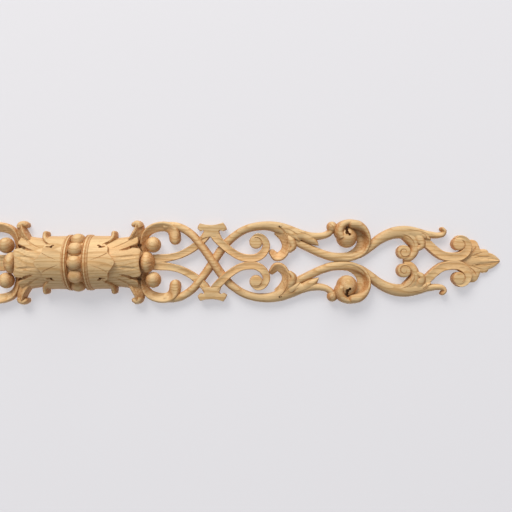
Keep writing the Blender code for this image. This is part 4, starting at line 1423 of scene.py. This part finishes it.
@dataclass(frozen=True)
class PaleHardwood:
    """Unfinished flat-sawn beech, smooth from the knife.

    What the eye gets: soft tan wood with growth rings drawn out along the board, fine fibres and short pores
    along them, redder and rougher end grain where the carving turns across the board, painted shade that
    darkens the stems' walls towards the end grain's colour, and no varnish.

    Args:
        early, late: colours within a ring and at its line.
        warm: colour of the redder patches.
        end_grain_and_wall_shade: colour where the fibres are cut across, also used as painted shade on the
            stems' walls.
        pore: colour of the pores.
        ring_spacing: distance between ring lines where they are cut square, in metres.
        fibre_width: width of the fibre streaks. Real ones are 0.2 mm, too fine to show, so these are wider.
        fibre_stretch: a streak's width as a share of its length.
        wave_reach: how far the rings wander, in metres.
        roughness: of the surface.
    """

    early: str = "E3C08D"
    late: str = "CDA169"
    warm: str = "CE8F57"
    end_grain_and_wall_shade: str = "AF6D36"
    pore: str = "94602E"
    ring_spacing: float = 0.0036
    fibre_width: float = 0.0009
    fibre_stretch: float = 0.035
    wave_reach: float = 0.030
    roughness: float = 0.55

    def build(self) -> bpy.types.Material:
        """The material, with every pattern on object coordinates in metres."""
        material = bpy.data.materials.new("unfinished_beech")
        material.use_nodes = True
        tree = material.node_tree
        tree.nodes.clear()
        place = add_node(tree, "ShaderNodeTexCoord").outputs["Object"]
        # Slow waves in the rings, drawn out along the board
        waver = self.noise(tree, place, (4.0, 26.0, 26.0), 2.0)
        centred = vector_maths(tree, "SUBTRACT", waver.outputs["Color"], (0.5, 0.5, 0.5))
        moved = vector_maths(tree, "ADD", place, vector_maths(tree, "SCALE", centred, self.wave_reach))
        ring = self.rings(tree, moved)
        fibre = self.noise(tree, moved, (self.fibre_stretch / self.fibre_width, 1 / self.fibre_width,
                                         1 / self.fibre_width), 3.0, 0.6).outputs[0]
        pore = spread(tree, self.noise(tree, place, (160.0, 1500.0, 1500.0), 1.0).outputs[0], (0.62, 0.74))
        # Broad patches, where the tone of the board drifts
        drift = self.noise(tree, place, (7.0, 30.0, 30.0), 2.0).outputs[0]
        # Cut ends are rough, with open pores
        speckle = self.noise(tree, place, (620.0, 620.0, 620.0), 2.0, 0.7).outputs[0]

        toned = self.mixed(tree, ring, linear(self.early), linear(self.late))
        toned = self.mixed(tree, 0.42, toned, self.grey(tree, fibre, 0.45, 1.25), "MULTIPLY")
        toned = self.mixed(tree, 0.6, toned, self.grey(tree, drift, 0.62, 1.30), "MULTIPLY")
        toned = self.mixed(tree, spread(tree, drift, (0.50, 0.72), (0.0, 0.32)), toned, linear(self.warm))
        # End grain where the carving turns across the board, plus painted shade on the stems' walls in the
        # same colour
        toned = self.mixed(tree, self.end_grain_and_painted_wall_shade(tree, speckle), toned, linear(self.end_grain_and_wall_shade))
        toned = self.mixed(tree, maths(tree, "MULTIPLY", pore, 0.45), toned, linear(self.pore))

        height = maths(tree, "SUBTRACT", fibre, pore)
        bump = add_node(tree, "ShaderNodeBump", {"Strength": 0.22, "Distance": 0.0002, "Height": height})
        shader = add_node(tree, "ShaderNodeBsdfPrincipled", {
            "Roughness": self.roughness, "IOR": 1.45, "Metallic": 0.0, "Specular IOR Level": 0.35,
            "Base Color": toned, "Normal": bump.outputs[0]})
        add_node(tree, "ShaderNodeOutputMaterial", {"Surface": shader.outputs[0]})
        return material

    def rings(self, tree: bpy.types.NodeTree, place: bpy.types.NodeSocket) -> bpy.types.NodeSocket:
        """Growth rings round the tree's heart, which lies behind and below the board.

        Args:
            tree: the tree that gets the nodes.
            place: the place in the board.

        Returns:
            Colour from black within a ring to white at its line.
        """
        heart = vector_maths(tree, "ADD", place, (0.0, -0.075, 0.065))
        across = vector_maths(tree, "MULTIPLY", heart, (0.035, 1.0, 1.0))
        distance = add_node(tree, "ShaderNodeVectorMath", {0: across}, operation="LENGTH")
        turns = maths(tree, "DIVIDE", distance.outputs["Value"], self.ring_spacing)
        ring = add_node(tree, "ShaderNodeValToRGB", {"Fac": maths(tree, "FRACT", turns)})
        elements = ring.color_ramp.elements
        elements[1].position, elements[1].color = 0.90, linear("FFFFFF")
        elements[0].position, elements[0].color = 0.0, linear("000000")
        elements.new(0.55).color = linear("404040")
        elements.new(1.0).color = linear("000000")
        return ring.outputs[0]

    @staticmethod
    def end_grain_and_painted_wall_shade(tree: bpy.types.NodeTree, speckle: bpy.types.NodeSocket) -> bpy.types.NodeSocket:
        """Where the end grain shows, speckled on faces along the board, and painted shade that darkens the
        stems' walls a little.

        Args:
            tree: the tree that gets the nodes.
            speckle: the rough ends' pattern.

        Returns:
            The share of the end grain's colour, both as end grain and as painted shade on the walls.
        """
        facing = add_node(tree, "ShaderNodeNewGeometry")
        parts = add_node(tree, "ShaderNodeSeparateXYZ", {0: facing.outputs["Normal"]})
        end = spread(tree, maths(tree, "ABSOLUTE", parts.outputs["X"]), (0.15, 0.72))
        # Painted shade: faces that turn away from the front, the stems' walls, darkened towards the end
        # grain's colour
        painted_wall_shade = spread(tree, maths(tree, "ABSOLUTE", parts.outputs["Y"]), (0.60, 0.10), (0.0, 0.34))
        rough_end = maths(tree, "MULTIPLY", end, PaleHardwood.grey(tree, speckle, 0.08, 1.10))
        return maths(tree, "MAXIMUM", rough_end, painted_wall_shade)

    @staticmethod
    def noise(tree: bpy.types.NodeTree, place: bpy.types.NodeSocket, scale: tuple[float, float, float],
              detail: float, roughness: float = 0.5) -> bpy.types.Node:
        """Noise with its own scale on each axis.

        Args:
            tree: the tree that gets the nodes.
            place: where it is read.
            scale: how fine it is along, out of and across the board.
            detail: how many finer layers it has.
            roughness: how strong they are.

        Returns:
            The noise node.
        """
        drawn = add_node(tree, "ShaderNodeMapping", {"Scale": scale, "Vector": place})
        return add_node(tree, "ShaderNodeTexNoise", {
            "Scale": 1.0, "Detail": detail, "Roughness": roughness, "Vector": drawn.outputs[0]})

    @staticmethod
    def mixed(tree: bpy.types.NodeTree, share: object, first: object, second: object,
              blend: str = "MIX") -> bpy.types.NodeSocket:
        """Mix of two colours.

        Args:
            tree: the tree that gets the node.
            share: how much of the second, a number or an output socket.
            first: a colour or an output socket.
            second: the same.
            blend: Blender's name of the blend.

        Returns:
            The mixed colour.
        """
        return add_node(tree, "ShaderNodeMix", {0: share, 6: first, 7: second}, data_type="RGBA",
                        blend_type=blend).outputs[2]

    @staticmethod
    def grey(tree: bpy.types.NodeTree, noise: bpy.types.NodeSocket, darkest: float, lightest: float
             ) -> bpy.types.NodeSocket:
        """Grey value of a noise.

        Args:
            tree: the tree that gets the node.
            noise: the noise.
            darkest: its value at the noise's low end.
            lightest: its value at the high end.

        Returns:
            The grey value.
        """
        return spread(tree, noise, (0.25, 0.75), (darkest, lightest))


@dataclass(frozen=True)
class SoftLight:
    """Round soft light that faces the onlay's middle.

    Args:
        name: what it stands for.
        place: where it hangs, in metres.
        size: its width in metres.
        power: in watts.
        colour: sRGB hex colour.
    """

    name: str
    place: tuple[float, float, float]
    size: float
    power: float
    colour: str

    def hang(self) -> None:
        """Puts it in the scene."""
        data = bpy.data.lights.new(self.name, "AREA")
        data.shape = "DISK"
        data.size = self.size
        data.energy = self.power
        data.color = linear(self.colour)[:3]
        light = bpy.data.objects.new(self.name, data)
        light.location = self.place
        light.rotation_euler = (Vector((0.1, 0, 0)) - Vector(self.place)).to_track_quat("-Z", "Y").to_euler()
        bpy.context.scene.collection.objects.link(light)


@dataclass(frozen=True)
class Studio:
    """Pale surface behind the onlay, soft daylight, and the camera square to the right-hand wing.

    Args:
        camera_place: in metres.
        camera_roll: in degrees.
        lens: focal length in millimetres.
        wall: sRGB hex colour of the surface.
        wall_gap: from the onlay's back to the wall, in metres.
        wall_half: half the wall's width, in metres.
        soft_lights: the daylight.
        behind_strength: of the light on the back.
        wash_strength: of the light on the wall alone.
        surround: sRGB hex colour of the room.
        surround_strength: of its light.
    """

    camera_place: tuple[float, float, float] = (0.2088, -0.710, 0.007)
    camera_roll: float = 0.22
    lens: float = 41.6
    wall: str = "A7A6A9"
    wall_gap: float = 0.0004
    wall_half: float = 3.0
    soft_lights: tuple[SoftLight, ...] = (
        SoftLight("window", (-1.3, -2.6, 3.2), 2.2, 132.0, "FFFBF4"),
        SoftLight("ceiling", (0.9, -1.6, 3.4), 2.6, 60.0, "FFFDFA"))
    behind_strength: float = 2.0
    wash_strength: float = 3.25
    surround: str = "EEF0F4"
    surround_strength: float = 0.46

    def camera(self) -> None:
        """Camera of the photograph's viewing angle."""
        data = bpy.data.cameras.new("camera")
        data.lens = self.lens
        data.sensor_width = 36.0
        data.clip_start = 0.01
        camera = bpy.data.objects.new("camera", data)
        camera.location = self.camera_place
        camera.rotation_euler = (math.radians(90), math.radians(self.camera_roll), 0.0)
        bpy.context.scene.collection.objects.link(camera)
        bpy.context.scene.camera = camera

    @staticmethod
    def sun(name: str, along_y: float, strength: float) -> tuple[bpy.types.Object, bpy.types.Collection]:
        """Sun that shines square on the back or the front.

        Args:
            name: what it is.
            along_y: its direction, 1 or -1.
            strength: its strength.

        Returns:
            The light, and a collection with the wall alone for its links.
        """
        data = bpy.data.lights.new(name, "SUN")
        data.energy = strength
        light = bpy.data.objects.new(name, data)
        light.rotation_euler = Vector((0.0, along_y, 0.0)).to_track_quat("-Z", "Y").to_euler()
        bpy.context.scene.collection.objects.link(light)
        links = bpy.data.collections.new(f"links_of_{name}")
        links.objects.link(bpy.data.objects["wall"])
        return light, links

    def behind(self) -> None:
        """Light square on the flat back, which the wall doesn't block."""
        light, links = self.sun("behind", -1.0, self.behind_strength)
        light.data.angle = math.radians(5)
        light.visible_glossy = False
        light.light_linking.blocker_collection = links
        links.collection_objects[0].light_linking.link_state = "EXCLUDE"

    def wash(self) -> None:
        """Even light on the wall alone, which keeps the shadows on it faint."""
        light, links = self.sun("wash", 1.0, self.wash_strength)
        light.light_linking.receiver_collection = links
        light.light_linking.blocker_collection = links

    def lights(self) -> None:
        """Soft daylight from the upper left, a weak fill, and a pale surround."""
        self.wash()
        for light in self.soft_lights:
            light.hang()
        self.behind()
        world = bpy.data.worlds.new("surround")
        world.use_nodes = True
        background = world.node_tree.nodes["Background"]
        background.inputs["Color"].default_value = linear(self.surround)
        background.inputs["Strength"].default_value = self.surround_strength
        bpy.context.scene.world = world

    def backdrop(self) -> None:
        """Pale wall just behind the onlay. Its rear face is clear, so the onlay's back can be looked at."""
        half, gap = self.wall_half, self.wall_gap
        corners = [Vector((x * half, gap, z * half)) for x, z in ((-1, -1), (1, -1), (1, 1), (-1, 1))]
        mesh = mesh_from("wall", corners, [], [(0, 1, 2, 3)])
        material = bpy.data.materials.new("matt_wall_paint")
        material.use_nodes = True
        tree = material.node_tree
        tree.nodes.clear()
        paint = add_node(tree, "ShaderNodeBsdfPrincipled", {
            "Base Color": linear(self.wall), "Roughness": 0.9})
        clear = add_node(tree, "ShaderNodeBsdfTransparent")
        side = add_node(tree, "ShaderNodeNewGeometry")
        mixed = add_node(tree, "ShaderNodeMixShader", {
            0: side.outputs["Backfacing"], 1: paint.outputs[0], 2: clear.outputs[0]})
        add_node(tree, "ShaderNodeOutputMaterial", {"Surface": mixed.outputs[0]})
        mesh.materials.append(material)
        wall = bpy.data.objects.new("wall", mesh)
        bpy.context.scene.collection.objects.link(wall)

    def build(self) -> None:
        """Sets up the camera, the wall and the lights, with colours shown as they are."""
        bpy.context.scene.view_settings.view_transform = "Standard"
        self.camera()
        self.backdrop()
        self.lights()


def main() -> None:
    """Loads the frame, carves and dresses the onlay, sets up the studio and logs the onlay's face count."""
    logging.basicConfig(level=logging.INFO, format="%(message)s")
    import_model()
    low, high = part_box(NODE)
    sheet = Sheet(high.x - low.x, high.z - low.z)
    wood = PaleHardwood().build()
    onlay = Onlay(sheet, wood).build()
    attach(onlay, "root")
    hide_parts(NODE)
    LOG.info("%s: %d faces", onlay.name, len(onlay.data.polygons))
    Studio().build()


if __name__ == "__main__":
    main()
